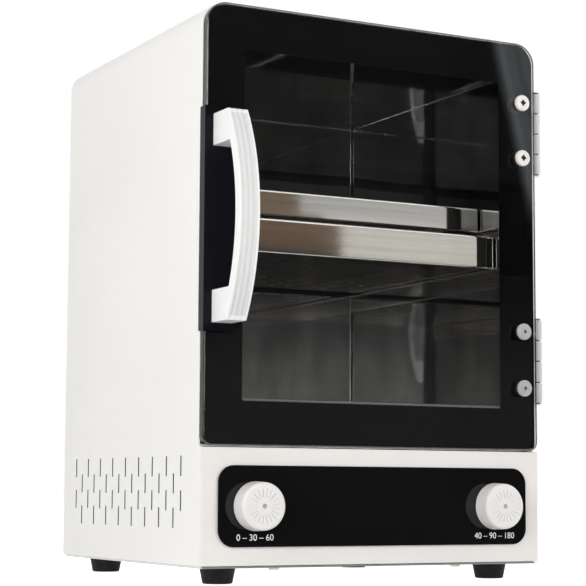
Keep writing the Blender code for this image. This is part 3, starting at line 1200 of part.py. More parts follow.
def build():
    """Build every piece."""
    clear_scene()
    builder = Builder()
    builder.add_carrier("door", (HINGE_AXIS_X, HINGE_AXIS_Y, 0))
    builder.add_carrier("timer_knob", (-KNOB_X, KNOB_BACK_Y, KNOB_Z))
    builder.add_carrier("temperature_knob", (KNOB_X, KNOB_BACK_Y, KNOB_Z))
    builder.add_carrier("tray_lower", (0, LOWER_TRAY_Y, LOWER_TRAY_Z))
    builder.add_carrier("tray_upper", (0, UPPER_TRAY_Y, UPPER_TRAY_Z))

    paint = make_material("white_paint", (0.86, 0.86, 0.84), 0.45)
    zinc = make_material("zinc_steel", (0.6, 0.6, 0.6), 0.4, 1.0)
    stainless = make_material("stainless", (0.72, 0.70, 0.67), 0.22, 1.0)
    mirror = make_material("polished_stainless", (0.5, 0.5, 0.5), 0.08, 1.0)
    glass = make_material("glass", (0.95, 0.97, 0.97), 0.02, 0.0, 0.3)
    black = make_material("black_print", (0.005, 0.005, 0.005), 0.3)
    gloss_black = make_material("gloss_black", (0.008, 0.008, 0.008), 0.08)
    dark_steel = make_material("dark_plate", (0.015, 0.015, 0.022), 0.25)
    white = make_material("white_plastic", (0.88, 0.88, 0.87), 0.35)
    rubber = make_material("rubber", (0.02, 0.02, 0.02), 0.8)
    silicone = make_material("silicone", (0.55, 0.55, 0.53), 0.7)
    dark_plastic = make_material("dark_plastic", (0.03, 0.03, 0.03), 0.5)
    wool = make_material("wool", (0.75, 0.68, 0.45), 0.95)
    copper = make_material("copper", (0.8, 0.45, 0.3), 0.3, 1.0)
    wire = make_material("wire_sleeve", (0.5, 0.05, 0.03), 0.6)
    magnet = make_material("magnet", (0.08, 0.08, 0.08), 0.5)

    make_shell(builder, paint)
    make_front_panel(builder, paint)
    make_base(builder, zinc)
    make_rear_panel(builder, paint)
    make_feet(builder, rubber, zinc)
    make_inlet(builder, dark_plastic)
    make_front_frame(builder, stainless)
    make_gasket(builder, silicone)
    make_liner(builder, mirror)
    make_insulation(builder, wool)
    make_divider(builder, zinc)
    make_rails(builder, stainless)
    make_tray(builder, "tray_lower", LOWER_TRAY_Y, LOWER_TRAY_Z, LOWER_TRAY_HEIGHT, True, stainless)
    make_tray(builder, "tray_upper", UPPER_TRAY_Y, UPPER_TRAY_Z, UPPER_TRAY_HEIGHT, False, stainless)
    make_control_plate(builder, gloss_black)
    make_controls(builder, white, zinc, dark_plastic)
    make_heater(builder, zinc, zinc)
    make_sensor(builder, copper)
    make_bulb_clip(builder, zinc)
    make_wiring(builder, dark_plastic, wire)
    make_door_glass(builder, glass)
    make_door_border(builder, black)
    make_handle_bracket(builder, dark_steel)
    make_handle(builder, white)
    make_handle_screws(builder, zinc)
    make_hinges(builder, stainless)
    make_glass_screws(builder, zinc)
    make_catch(builder, zinc, magnet)


build()
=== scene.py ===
"""Dry heat sterilizer: a white bench cabinet with a black glass door, two trays and two knobs.

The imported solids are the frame. The classes here dress it: each one holds the sizes of one
sub-assembly, builds its pieces over the solids and gives every surface its finish.
"""

import logging
from dataclasses import dataclass
from enum import Enum
from math import cos, hypot, pi, radians, sin, sqrt
from typing import Callable, Sequence

import bmesh
import bpy
from mathutils import Matrix, Vector


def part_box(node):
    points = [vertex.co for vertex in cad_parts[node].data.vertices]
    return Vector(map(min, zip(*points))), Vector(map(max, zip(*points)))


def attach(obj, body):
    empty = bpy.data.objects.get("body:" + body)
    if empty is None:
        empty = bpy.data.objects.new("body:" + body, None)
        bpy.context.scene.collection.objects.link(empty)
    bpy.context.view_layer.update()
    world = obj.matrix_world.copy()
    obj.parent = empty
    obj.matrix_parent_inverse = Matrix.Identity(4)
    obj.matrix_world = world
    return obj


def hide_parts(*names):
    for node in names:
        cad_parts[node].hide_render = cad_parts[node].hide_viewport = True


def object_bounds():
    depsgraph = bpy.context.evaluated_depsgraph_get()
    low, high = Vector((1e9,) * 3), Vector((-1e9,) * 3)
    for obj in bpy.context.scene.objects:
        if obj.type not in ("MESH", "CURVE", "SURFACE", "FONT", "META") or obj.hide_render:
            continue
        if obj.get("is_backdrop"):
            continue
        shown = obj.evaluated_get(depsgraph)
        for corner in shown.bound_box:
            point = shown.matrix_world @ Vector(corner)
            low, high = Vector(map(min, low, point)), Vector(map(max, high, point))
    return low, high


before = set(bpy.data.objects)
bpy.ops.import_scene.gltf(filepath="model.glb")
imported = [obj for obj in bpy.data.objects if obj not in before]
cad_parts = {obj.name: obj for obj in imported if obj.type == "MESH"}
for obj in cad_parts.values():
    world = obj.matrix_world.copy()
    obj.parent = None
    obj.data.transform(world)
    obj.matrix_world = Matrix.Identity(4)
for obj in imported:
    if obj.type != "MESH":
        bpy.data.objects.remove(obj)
CAD_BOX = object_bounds()
LOG = logging.getLogger("sterilizer")

MM = 0.001
CLEARANCE = 0.3 * MM
SMALL_RADIUS = 0.3 * MM
SHARP = 35.0
WHITE = (1.0, 1.0, 1.0, 1.0)
Colour = tuple[float, float, float]
Pair = tuple[float, float]
Point = tuple[float, float]
Ring = list[Vector]
Profile = Sequence[Point]


class Plane(Enum):
    """Plane that an outline is drawn in; its depth runs along the third axis."""

    FRONT = ((1, 0, 0), (0, 0, 1), (0, 1, 0))
    TOP = ((1, 0, 0), (0, 1, 0), (0, 0, 1))
    SIDE = ((0, 1, 0), (0, 0, 1), (1, 0, 0))

    def at(self, across: float, up: float, depth: float) -> Vector:
        """Place one point of an outline."""
        first, second, third = (Vector(axis) for axis in self.value)
        return first * across + second * up + third * depth

    def ring(self, outline: Sequence[Point], depth: float) -> Ring:
        """Place a whole outline at one depth."""
        return [self.at(across, up, depth) for across, up in outline]


class Grain(Enum):
    """Direction in which a brushed finish runs, as the stretch of its noise."""

    ACROSS = (0.02, 1.0, 1.0)
    ALONG = (1.0, 0.02, 1.0)
    UP = (1.0, 1.0, 0.02)


# Node trees


def term(operation: str, swapped: bool = False) -> Callable[["Wire", object], "Wire"]:
    """Return an operator that adds a Math node over a wire and another term.

    Args:
        operation: The node's operation.
        swapped: True if the other term comes first.

    Returns:
        The operator, for use as a method.
    """

    def apply(wire: "Wire", other: object) -> "Wire":
        """Add the node."""
        return wire.nodes.maths(operation, *((other, wire) if swapped else (wire, other)))

    return apply


class Wire:
    """A socket that can be used in an expression."""

    def __init__(self, nodes: "Nodes", socket: bpy.types.NodeSocket) -> None:
        """Keep the tree and the socket."""
        self.nodes = nodes
        self.socket = socket

    __add__ = term("ADD")
    __radd__ = term("ADD", swapped=True)
    __mul__ = term("MULTIPLY")
    __rmul__ = term("MULTIPLY", swapped=True)
    __truediv__ = term("DIVIDE")
    __mod__ = term("FLOORED_MODULO")


class Nodes:
    """Builds one node tree, a node at a time."""

    def __init__(self, tree: bpy.types.NodeTree) -> None:
        """Keep the tree."""
        self.tree = tree

    def add(self, kind: str, settings: dict[str, object] | None = None,
            values: dict[str | int, object] | None = None) -> bpy.types.Node:
        """Add a node.

        Args:
            kind: The node's type.
            settings: Its properties, which are set first.
            values: Numbers, colours or links for its sockets.

        Returns:
            The node.
        """
        node = self.tree.nodes.new(kind)
        for name, value in (settings or {}).items():
            setattr(node, name, value)
        for key, value in (values or {}).items():
            self.feed(node.inputs[key], value)
        return node

    def feed(self, socket: bpy.types.NodeSocket, value: object) -> None:
        """Link a wire or a socket, or set a plain value.

        Args:
            socket: The socket that is fed.
            value: What feeds it.
        """
        if isinstance(value, Wire):
            self.tree.links.new(value.socket, socket)
        elif isinstance(value, bpy.types.NodeSocket):
            self.tree.links.new(value, socket)
        else:
            socket.default_value = value

    def wire(self, node: bpy.types.Node, output: str | int = 0) -> Wire:
        """Return one of a node's outputs for use in an expression."""
        return Wire(self, node.outputs[output])

    def maths(self, operation: str, *terms: object) -> Wire:
        """Add a Math node over numbers and wires."""
        values = dict(enumerate(terms))
        return self.wire(self.add("ShaderNodeMath", {"operation": operation}, values))

    def ramp(self, value: Wire, low: float, high: float, bottom: float = 0.0, top: float = 1.0,
             kind: str = "LINEAR") -> Wire:
        """Stretch a range of a value to another, clamped at both ends.

        Args:
            value: The value.
            low, high: The range it comes from.
            bottom, top: The range it goes to.
            kind: The way between them.

        Returns:
            The stretched value.
        """
        return self.wire(self.add("ShaderNodeMapRange", {"interpolation_type": kind}, {
            "Value": value, "From Min": low, "From Max": high, "To Min": bottom, "To Max": top}))

    def axes(self, place: bpy.types.NodeSocket) -> list[Wire]:
        """Split a place into its three numbers."""
        split = self.add("ShaderNodeSeparateXYZ", values={0: place})
        return [self.wire(split, axis) for axis in range(3)]


class Surface(Nodes):
    """The node tree of one material, around a Principled shader."""

    def __init__(self, name: str) -> None:
        """Make the material.

        Args:
            name: The material's name.
        """
        self.material = bpy.data.materials.new(name)
        self.material.use_nodes = True
        super().__init__(self.material.node_tree)
        self.shader = self.tree.nodes["Principled BSDF"]
        self.place = self.add("ShaderNodeTexCoord").outputs["Object"]

    def set(self, **values: object) -> None:
        """Set the shader's sockets, with _ for each space in a socket's name."""
        for name, value in values.items():
            self.feed(self.shader.inputs[name.replace("_", " ")], value)

    def stretched(self, stretch: Sequence[float]) -> bpy.types.NodeSocket:
        """Return the place, scaled along each axis."""
        node = self.add("ShaderNodeMapping", values={"Vector": self.place, "Scale": stretch})
        return node.outputs[0]

    def noise(self, size: float, detail: float = 2.0,
              stretch: Sequence[float] = (1.0, 1.0, 1.0), seed: float = 0.0) -> Wire:
        """Add noise from 0 to 1.

        Args:
            size: The width of one swell, in metres.
            detail: The number of finer layers.
            stretch: The scale along each axis.
            seed: A shift that makes two noises differ.

        Returns:
            The noise.
        """
        node = self.add("ShaderNodeTexNoise", {"noise_dimensions": "4D"}, {
            "Vector": self.stretched(stretch), "W": seed, "Scale": 1.0 / size, "Detail": detail})
        return self.wire(node)

    def blend(self, mask: Wire, first: Colour, second: Colour) -> bpy.types.NodeSocket:
        """Mix two colours by a mask.

        Args:
            mask: The share of the second colour.
            first, second: The colours.

        Returns:
            The mixed colour. A Mix node has its colours behind the sockets for numbers.
        """
        factor, colour_a, colour_b, result = 0, 6, 7, 2
        node = self.add("ShaderNodeMix", {"data_type": "RGBA"}, {
            factor: mask, colour_a: (*first, 1.0), colour_b: (*second, 1.0)})
        return node.outputs[result]

    def bump(self, height: Wire, depth: float, strength: float = 1.0) -> None:
        """Raise the surface by a height from 0 to 1, over a depth in metres."""
        values = {"Height": height, "Distance": depth, "Strength": strength}
        self.set(Normal=self.add("ShaderNodeBump", values=values).outputs[0])


# Finishes


@dataclass(frozen=True)
class Finish:
    """What every finish has: a name, the record's slot and a colour."""

    name: str
    slot: str
    colour: Colour

    def dress(self, surface: Surface) -> None:
        """Build the finish's nodes."""
        surface.set(Base_Color=(*self.colour, 1.0))

    def toned(self, share: float, lift: float = 0.0) -> Colour:
        """Return the colour, darker or brighter."""
        return tuple(part * share + lift for part in self.colour)

    def material(self) -> bpy.types.Material:
        """Return the finish's material, made on first use.

        Returns:
            The material.
        """
        made = bpy.data.materials.get(self.name)
        if made is None:
            surface = Surface(self.name)
            self.dress(surface)
            made = surface.material
        return made


@dataclass(frozen=True)
class PowderCoat(Finish):
    """Baked paint: a faint peel, uneven gloss and a little handling dirt."""

    roughness: float = 0.36
    shade: float = 0.965

    def dress(self, surface: Surface) -> None:
        """Build the paint.

        Args:
            surface: The material's tree.
        """
        cloud = surface.noise(0.09, 3.0)
        surface.set(
            Base_Color=surface.blend(surface.ramp(cloud, 0.35, 0.65), self.toned(self.shade), self.colour),
            Roughness=self.roughness + 0.08 * surface.noise(0.02, 4.0, seed=3.0),
            IOR=1.5,
        )
        peel = surface.noise(0.0016, 1.0, seed=7.0)
        fine = surface.noise(0.0004, 2.0, seed=9.0)
        surface.bump(peel + 0.25 * fine, 0.00004, 0.5)


@dataclass(frozen=True)
class BrushedSteel(Finish):
    """Steel with a grain."""

    grain: Grain = Grain.ACROSS
    roughness: float = 0.25
    streak: float = 0.0005
    depth: float = 0.000012
    metallic: float = 1.0
    shade: float = 0.86

    def dress(self, surface: Surface) -> None:
        """Build the steel.

        Args:
            surface: The material's tree.
        """
        coarse = surface.noise(self.streak * 4, 2.0, self.grain.value, 1.0)
        fine = surface.noise(self.streak, 2.0, self.grain.value, 2.0)
        surface.set(
            Base_Color=surface.blend(surface.ramp(coarse, 0.3, 0.7), self.toned(self.shade), self.colour),
            Metallic=self.metallic,
            Roughness=self.roughness - 0.05 + 0.1 * fine,
        )
        surface.bump(fine, self.depth, 0.6)


@dataclass(frozen=True)
class MirrorSteel(Finish):
    """Polished sheet: faint swirls, uneven sheen and the slow waves of thin metal."""

    roughness: float = 0.012
    wave: float = 0.00016
    shade: float = 0.66

    def dress(self, surface: Surface) -> None:
        """Build the steel.

        Args:
            surface: The material's tree.
        """
        swirl = surface.noise(0.004, 5.0, seed=4.0)
        smear = surface.ramp(surface.noise(0.030, 3.0, (1.0, 1.0, 0.7), 6.0), 0.36, 0.66)
        surface.set(
            Base_Color=surface.blend(smear, self.colour, self.toned(self.shade)),
            Metallic=1.0,
            Roughness=self.roughness + 0.035 * smear + 0.01 * swirl,
        )
        surface.bump(surface.noise(0.07, 1.0, seed=8.0), self.wave, 1.0)


@dataclass(frozen=True)
class ClearGlass(Finish):
    """Float glass with polished edges."""

    ior: float = 1.5

    def dress(self, surface: Surface) -> None:
        """Build the glass."""
        surface.set(Base_Color=(*self.colour, 1.0), Roughness=0.0, IOR=self.ior, Transmission_Weight=1.0)


@dataclass(frozen=True)
class Moulded(Finish):
    """Moulded plastic, print or lacquer: a fine grain and slightly uneven gloss."""

    roughness: float = 0.3
    grain: float = 0.0006
    depth: float = 0.00001
    mottle: float = 0.97
    specular: float = 0.5
    # glow is painted light: a faint emission for a part that is no lamp
    glow: float = 0.0

    def dress(self, surface: Surface) -> None:
        """Build the plastic.

        Args:
            surface: The material's tree.
        """
        surface.set(
            Base_Color=surface.blend(surface.noise(0.02, 3.0), self.toned(self.mottle), self.colour),
            Roughness=self.roughness * 0.9 + self.roughness * 0.2 * surface.noise(0.008, 4.0, seed=2.0),
            Specular_IOR_Level=self.specular,
            Emission_Color=WHITE,
            Emission_Strength=self.glow,
        )
        surface.bump(surface.noise(self.grain, 2.0, seed=5.0), self.depth, 0.5)


@dataclass(frozen=True)
class Elastic(Finish):
    """Rubber or silicone: matt, dusty on its swells."""

    roughness: float = 0.7

    def dress(self, surface: Surface) -> None:
        """Build the rubber.

        Args:
            surface: The material's tree.
        """
        dust = surface.ramp(surface.noise(0.003, 5.0), 0.5, 0.8)
        surface.set(
            Base_Color=surface.blend(dust, self.colour, self.toned(1.6, 0.01)),
            Roughness=self.roughness + 0.15 * dust,
            Specular_IOR_Level=0.2,
        )
        surface.bump(surface.noise(0.0007, 3.0, seed=3.0), 0.00006, 0.7)


@dataclass(frozen=True)
class Fibre(Finish):
    """Mineral wool: matted fibres."""

    def dress(self, surface: Surface) -> None:
        """Build the wool.

        Args:
            surface: The material's tree.
        """
        strand = surface.noise(0.0012, 6.0, (1.0, 0.3, 1.0))
        surface.set(
            Base_Color=surface.blend(surface.ramp(strand, 0.35, 0.65), self.toned(0.55), self.colour),
            Roughness=0.95,
            Sheen_Weight=0.2,
        )
        surface.bump(strand, 0.0008, 1.0)


@dataclass(frozen=True)
class Braid(Finish):
    """Braided sleeve of a heat-proof wire."""

    pitch: float = 0.0009

    def dress(self, surface: Surface) -> None:
        """Build the braid.

        Args:
            surface: The material's tree.
        """
        settings = {"wave_type": "BANDS", "bands_direction": "DIAGONAL"}
        strands = [surface.wire(surface.add("ShaderNodeTexWave", settings, {
            "Vector": place, "Scale": 0.3 / self.pitch}), "Fac")
            for place in (surface.place, surface.stretched((1.0, -1.0, -1.0)))]
        weave = surface.maths("MAXIMUM", *strands)
        surface.set(Base_Color=surface.blend(weave, self.toned(0.5), self.colour), Roughness=0.75)
        surface.bump(weave, 0.0002, 0.8)


class Finishes:
    """The finishes of the cabinet, by what they are used on."""

    paint = PowderCoat("white_powder_coat", "white_paint", (0.875, 0.862, 0.835))
    # painted shade: a darker copy of the white paint for the front panel, whose face the side light reaches
    # less
    front_face_painted_shade = PowderCoat("panel_powder_coat", "white_paint", (0.84, 0.81, 0.78))
    # painted shade: a near-black copy of the white paint for the slits' cut walls, which lie in shade
    slit_painted_shade = PowderCoat("slit_edge_coat", "white_paint", (0.10, 0.10, 0.105))
    zinc = BrushedSteel("zinc_plated_steel", "zinc_steel", (0.62, 0.62, 0.60), Grain.ACROSS, 0.34, 0.0012)
    frame_steel = BrushedSteel("front_frame_steel", "stainless", (0.62, 0.59, 0.55), Grain.ACROSS, 0.16)
    tray_steel = BrushedSteel("tray_steel", "stainless", (0.72, 0.70, 0.67), Grain.ACROSS, 0.07, 0.0006,
                              0.000004)
    hinge_steel = BrushedSteel("hinge_steel", "stainless", (0.93, 0.93, 0.92), Grain.UP, 0.32, metallic=0.35)
    liner_steel = MirrorSteel("liner_steel", "polished_stainless", (0.62, 0.617, 0.614))
    bright_screw = BrushedSteel("bright_screw", "zinc_steel", (0.93, 0.89, 0.84), Grain.UP, 0.42, 0.0003,
                                metallic=0.1)
    polished_screw = BrushedSteel("polished_screw", "zinc_steel", (0.80, 0.77, 0.755), Grain.UP, 0.3, 0.0003,
                                  metallic=0.5)
    # painted shade: a near-black colour for the upper screws' cross recesses and the hinge pin between its
    # knuckles
    screw_recess = Moulded("screw_recess", "zinc_steel", (0.035, 0.032, 0.03), 0.5)
    # painted shade: a dark grey colour for the lower screws' cross recesses
    screw_star = Moulded("screw_star", "zinc_steel", (0.22, 0.20, 0.19), 0.5)
    glass = ClearGlass("door_float_glass", "glass", (0.975, 0.985, 0.98))
    black_print = Moulded("black_glass_print", "black_print", (0.003, 0.003, 0.0034), 0.3, specular=0.05)
    # painted light: the print's inner face glows faintly, standing in for the chamber's light that falls on
    # it
    inner_print_painted_glow = Moulded("black_print_back", "black_print", (0.012, 0.012, 0.013), 0.5, specular=0.3,
                         glow=0.016)
    gloss_black = Moulded("gloss_black_plate", "gloss_black", (0.0045, 0.0045, 0.005), 0.10, 0.004,
                          0.000004)
    dark_plate = Moulded("handle_plate_lacquer", "dark_plate", (0.0045, 0.0042, 0.0070), 0.26, 0.0008,
                         0.00001, specular=0.15)
    white_handle = Moulded("white_handle_plastic", "white_plastic", (0.90, 0.895, 0.89), 0.36)
    # painted shade: a darker copy of the handle's white for its front faces, which the side light reaches
    # less
    handle_front_painted_shade = Moulded("handle_field_plastic", "white_plastic", (0.735, 0.73, 0.725), 0.42)
    white_knob = Moulded("white_knob_plastic", "white_plastic", (0.84, 0.82, 0.80), 0.38)
    knob_dimple = Moulded("knob_dimple_grey", "white_plastic", (0.42, 0.41, 0.40), 0.5)
    white_ink = Moulded("white_ink", "white_plastic", (0.86, 0.86, 0.86), 0.45)
    rubber = Elastic("foot_rubber", "rubber", (0.006, 0.006, 0.0068))
    silicone = Elastic("gasket_silicone", "silicone", (0.30, 0.30, 0.29), 0.6)
    dark_plastic = Moulded("black_moulding", "dark_plastic", (0.02, 0.02, 0.021), 0.5, 0.0008, 0.00004)
    wool = Fibre("mineral_wool", "wool", (0.68, 0.60, 0.38))
    copper = BrushedSteel("copper_tube", "copper", (0.80, 0.45, 0.30), Grain.ALONG, 0.3)
    blade = BrushedSteel("inlet_blade", "copper", (0.78, 0.66, 0.38), Grain.ALONG, 0.25)
    sleeve = Braid("wire_sleeve", "wire_sleeve", (0.48, 0.05, 0.03))
    magnet = Elastic("dark_magnet", "magnet", (0.05, 0.05, 0.055), 0.5)


# Building meshes


def tint(piece: bpy.types.Object, finish: Finish, chosen: Callable[[bpy.types.MeshPolygon], bool]) -> None:
    """Give some of a piece's faces another finish.

    Args:
        piece: The piece, in its own finish.
        finish: The other finish.
        chosen: Tells which faces get it.
    """
    piece.data.materials.append(finish.material())
    last = len(piece.data.materials) - 1
    for face in piece.data.polygons:
        if chosen(face):
            face.material_index = last


def circle(centre: Point, radius: float, steps: int) -> list[Point]:
    """Return a circle's points."""
    turns = (2 * pi * step / steps for step in range(steps))
    return [(centre[0] + radius * cos(turn), centre[1] + radius * sin(turn)) for turn in turns]


def quarter(steps: int) -> list[Pair]:
    """Return the sine and the cosine at each step of a quarter turn."""
    turns = (pi / 2 * step / steps for step in range(steps + 1))
    return [(sin(turn), cos(turn)) for turn in turns]


def rounded(left: float, right: float, low: float, high: float, radii: Sequence[float],
            steps: int = 12) -> list[Point]:
    """Return a rectangle's outline with an arc at each corner.

    Args:
        left, right, low, high: The rectangle's sides.
        radii: The radii of the lower left, lower right, upper right and upper left corners.
        steps: The number of segments in each arc.

    Returns:
        The outline's points, anticlockwise.
    """
    corners = ((left, low, 1, 1, pi), (right, low, -1, 1, 1.5 * pi),
               (right, high, -1, -1, 0.0), (left, high, 1, -1, 0.5 * pi))
    points = []
    for (across, up, way_across, way_up, start), radius in zip(corners, radii):
        for step in range(steps + 1):
            turn = start + pi / 2 * step / steps
            points.append((across + way_across * radius + radius * cos(turn),
                           up + way_up * radius + radius * sin(turn)))
    return points


def centred(width: float, height: float, radius: float, steps: int) -> list[Point]:
    """Return the outline of a rectangle with round corners about the origin."""
    return rounded(-width / 2, width / 2, -height / 2, height / 2, [radius] * 4, steps)


@dataclass(frozen=True)
class Box:
    """A box given by its corners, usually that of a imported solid."""

    low: Vector
    high: Vector

    @classmethod
    def of(cls, node: str) -> "Box":
        """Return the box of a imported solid."""
        return cls(*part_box(node))

    @property
    def middle(self) -> Vector:
        """Return the box's centre."""
        return (self.low + self.high) / 2

    def outline(self, radii: Sequence[float], steps: int = 12, inset: float = 0.0,
                rise: float | None = None, plane: Plane = Plane.FRONT) -> list[Point]:
        """Return the box's outline with an arc at each corner.

        Args:
            radii: The radii of the lower left, lower right, upper right and upper left corners.
            steps: The number of segments in each arc.
            inset: How far the outline is drawn in.
            rise: How far it is drawn in from below and above, where that differs.
            plane: The front or the top plane.

        Returns:
            The outline's points, anticlockwise.
        """
        up = 1 if plane is Plane.TOP else 2
        rise = inset if rise is None else rise
        return rounded(self.low.x + inset, self.high.x - inset, self.low[up] + rise, self.high[up] - rise,
                       radii, steps)


def placed(name: str, data: bpy.types.ID) -> bpy.types.Object:
    """Return a new object in the scene.

    Args:
        name: The object's name.
        data: Its mesh, text, camera or lamp.

    Returns:
        The object.
    """
    made = bpy.data.objects.new(name, data)
    bpy.context.scene.collection.objects.link(made)
    return made


def shade(data: bpy.types.Mesh, sharp: float = SHARP) -> None:
    """Shade a mesh smooth, except at edges past an angle in degrees."""
    data.shade_smooth()
    data.set_sharp_from_angle(angle=radians(sharp))


class Form:
    """One mesh under construction, in the object's own frame."""

    def __init__(self, name: str) -> None:
        """Start an empty mesh."""
        self.name = name
        self.mesh = bmesh.new()

    def loft(self, rings: Sequence[Ring], closed: bool = False) -> "Form":
        """Join rings of equally many points.

        Args:
            rings: The rings, in order.
            closed: True if the last joins the first, False for a cap at each end.

        Returns:
            The form.
        """
        corners = [[self.mesh.verts.new(point) for point in ring] for ring in rings]
        pairs = list(zip(corners, corners[1:]))
        if closed:
            pairs.append((corners[-1], corners[0]))
        count = len(corners[0])
        for near, far in pairs:
            for index in range(count):
                after = (index + 1) % count
                self.mesh.faces.new((near[index], near[after], far[after], far[index]))
        if not closed:
            self.mesh.faces.new(corners[0])
            self.mesh.faces.new(corners[-1])
        return self

    def slab(self, outline: Sequence[Point], plane: Plane, start: float, end: float) -> "Form":
        """Extrude an outline."""
        return self.loft([plane.ring(outline, depth) for depth in (start, end)])

    def hoop(self, outer: Sequence[Point], inner: Sequence[Point], plane: Plane, start: float,
             end: float) -> "Form":
        """Extrude the band between two outlines of equally many points."""
        return self.loft([plane.ring(inner, start), plane.ring(outer, start), plane.ring(outer, end),
                          plane.ring(inner, end)], closed=True)

    def turned(self, profile: Profile, centre: Point, plane: Plane, steps: int = 48,
               closed: bool = False) -> "Form":
        """Turn a profile of radius and depth pairs about a line square to a plane."""
        return self.loft([plane.ring(circle(centre, radius, steps), depth) for radius, depth in profile],
                         closed)

    def block(self, low: Sequence[float], high: Sequence[float]) -> "Form":
        """Add a box between two corners."""
        outline = [(low[0], low[1]), (high[0], low[1]), (high[0], high[1]), (low[0], high[1])]
        return self.slab(outline, Plane.TOP, low[2], high[2])

    def build(self, finish: Finish | None = None, sharp: float = SHARP) -> bpy.types.Object:
        """Turn the form into an object.

        Args:
            finish: Its finish, or None for a cutter.
            sharp: The angle in degrees past which an edge is sharp.

        Returns:
            The object.
        """
        bmesh.ops.recalc_face_normals(self.mesh, faces=self.mesh.faces)
        data = bpy.data.meshes.new(self.name)
        self.mesh.to_mesh(data)
        self.mesh.free()
        shade(data, sharp)
        if finish:
            data.materials.append(finish.material())
        return placed(self.name, data)


def plain(piece: bpy.types.Object) -> None:
    """Turn a piece with modifiers into a plain mesh.

    Args:
        piece: The piece.
    """
    graph = bpy.context.evaluated_depsgraph_get()
    graph.update()
    before = piece.data
    piece.data = bpy.data.meshes.new_from_object(piece.evaluated_get(graph), depsgraph=graph)
    piece.modifiers.clear()
    bpy.data.meshes.remove(before)
    piece.data.name = piece.name


def soften(piece: bpy.types.Object, width: float, segments: int = 3,
           angle: float = SHARP) -> None:
    """Round a piece's sharp edges, and keep its flats flat.

    Args:
        piece: The piece.
        width: The width of the rounding.
        segments: The number of segments across it.
        angle: The angle in degrees past which an edge is rounded.
    """
    bevel = piece.modifiers.new("round edges", "BEVEL")
    bevel.width = width
    bevel.segments = segments
    bevel.limit_method = "ANGLE"
    bevel.angle_limit = radians(angle)
    bevel.miter_outer = "MITER_ARC"
    plain(piece)
    piece.data.shade_smooth()
    even(piece)


def even(piece: bpy.types.Object, sharp: float = 45.0) -> None:
    """Weight a piece's normals by area, so that broad faces shade as flat.

    Args:
        piece: The piece.
        sharp: The angle in degrees past which an edge is sharp.
    """
    piece.data.set_sharp_from_angle(angle=radians(sharp))
    normals = piece.modifiers.new("even normals", "WEIGHTED_NORMAL")
    normals.keep_sharp = True
    normals.weight = 50
    plain(piece)


def carve(piece: bpy.types.Object, *cutters: bpy.types.Object,
          operation: str = "DIFFERENCE") -> None:
    """Cut shapes out of a piece, or weld them on, and remove them.

    Args:
        piece: The piece.
        cutters: The shapes.
        operation: DIFFERENCE to cut, UNION to weld.
    """
    for cutter in cutters:
        change = piece.modifiers.new("cut", "BOOLEAN")
        change.operation = operation
        change.solver = "EXACT"
        change.object = cutter
    plain(piece)
    for cutter in cutters:
        bpy.data.objects.remove(cutter, do_unlink=True)
    shade(piece.data)


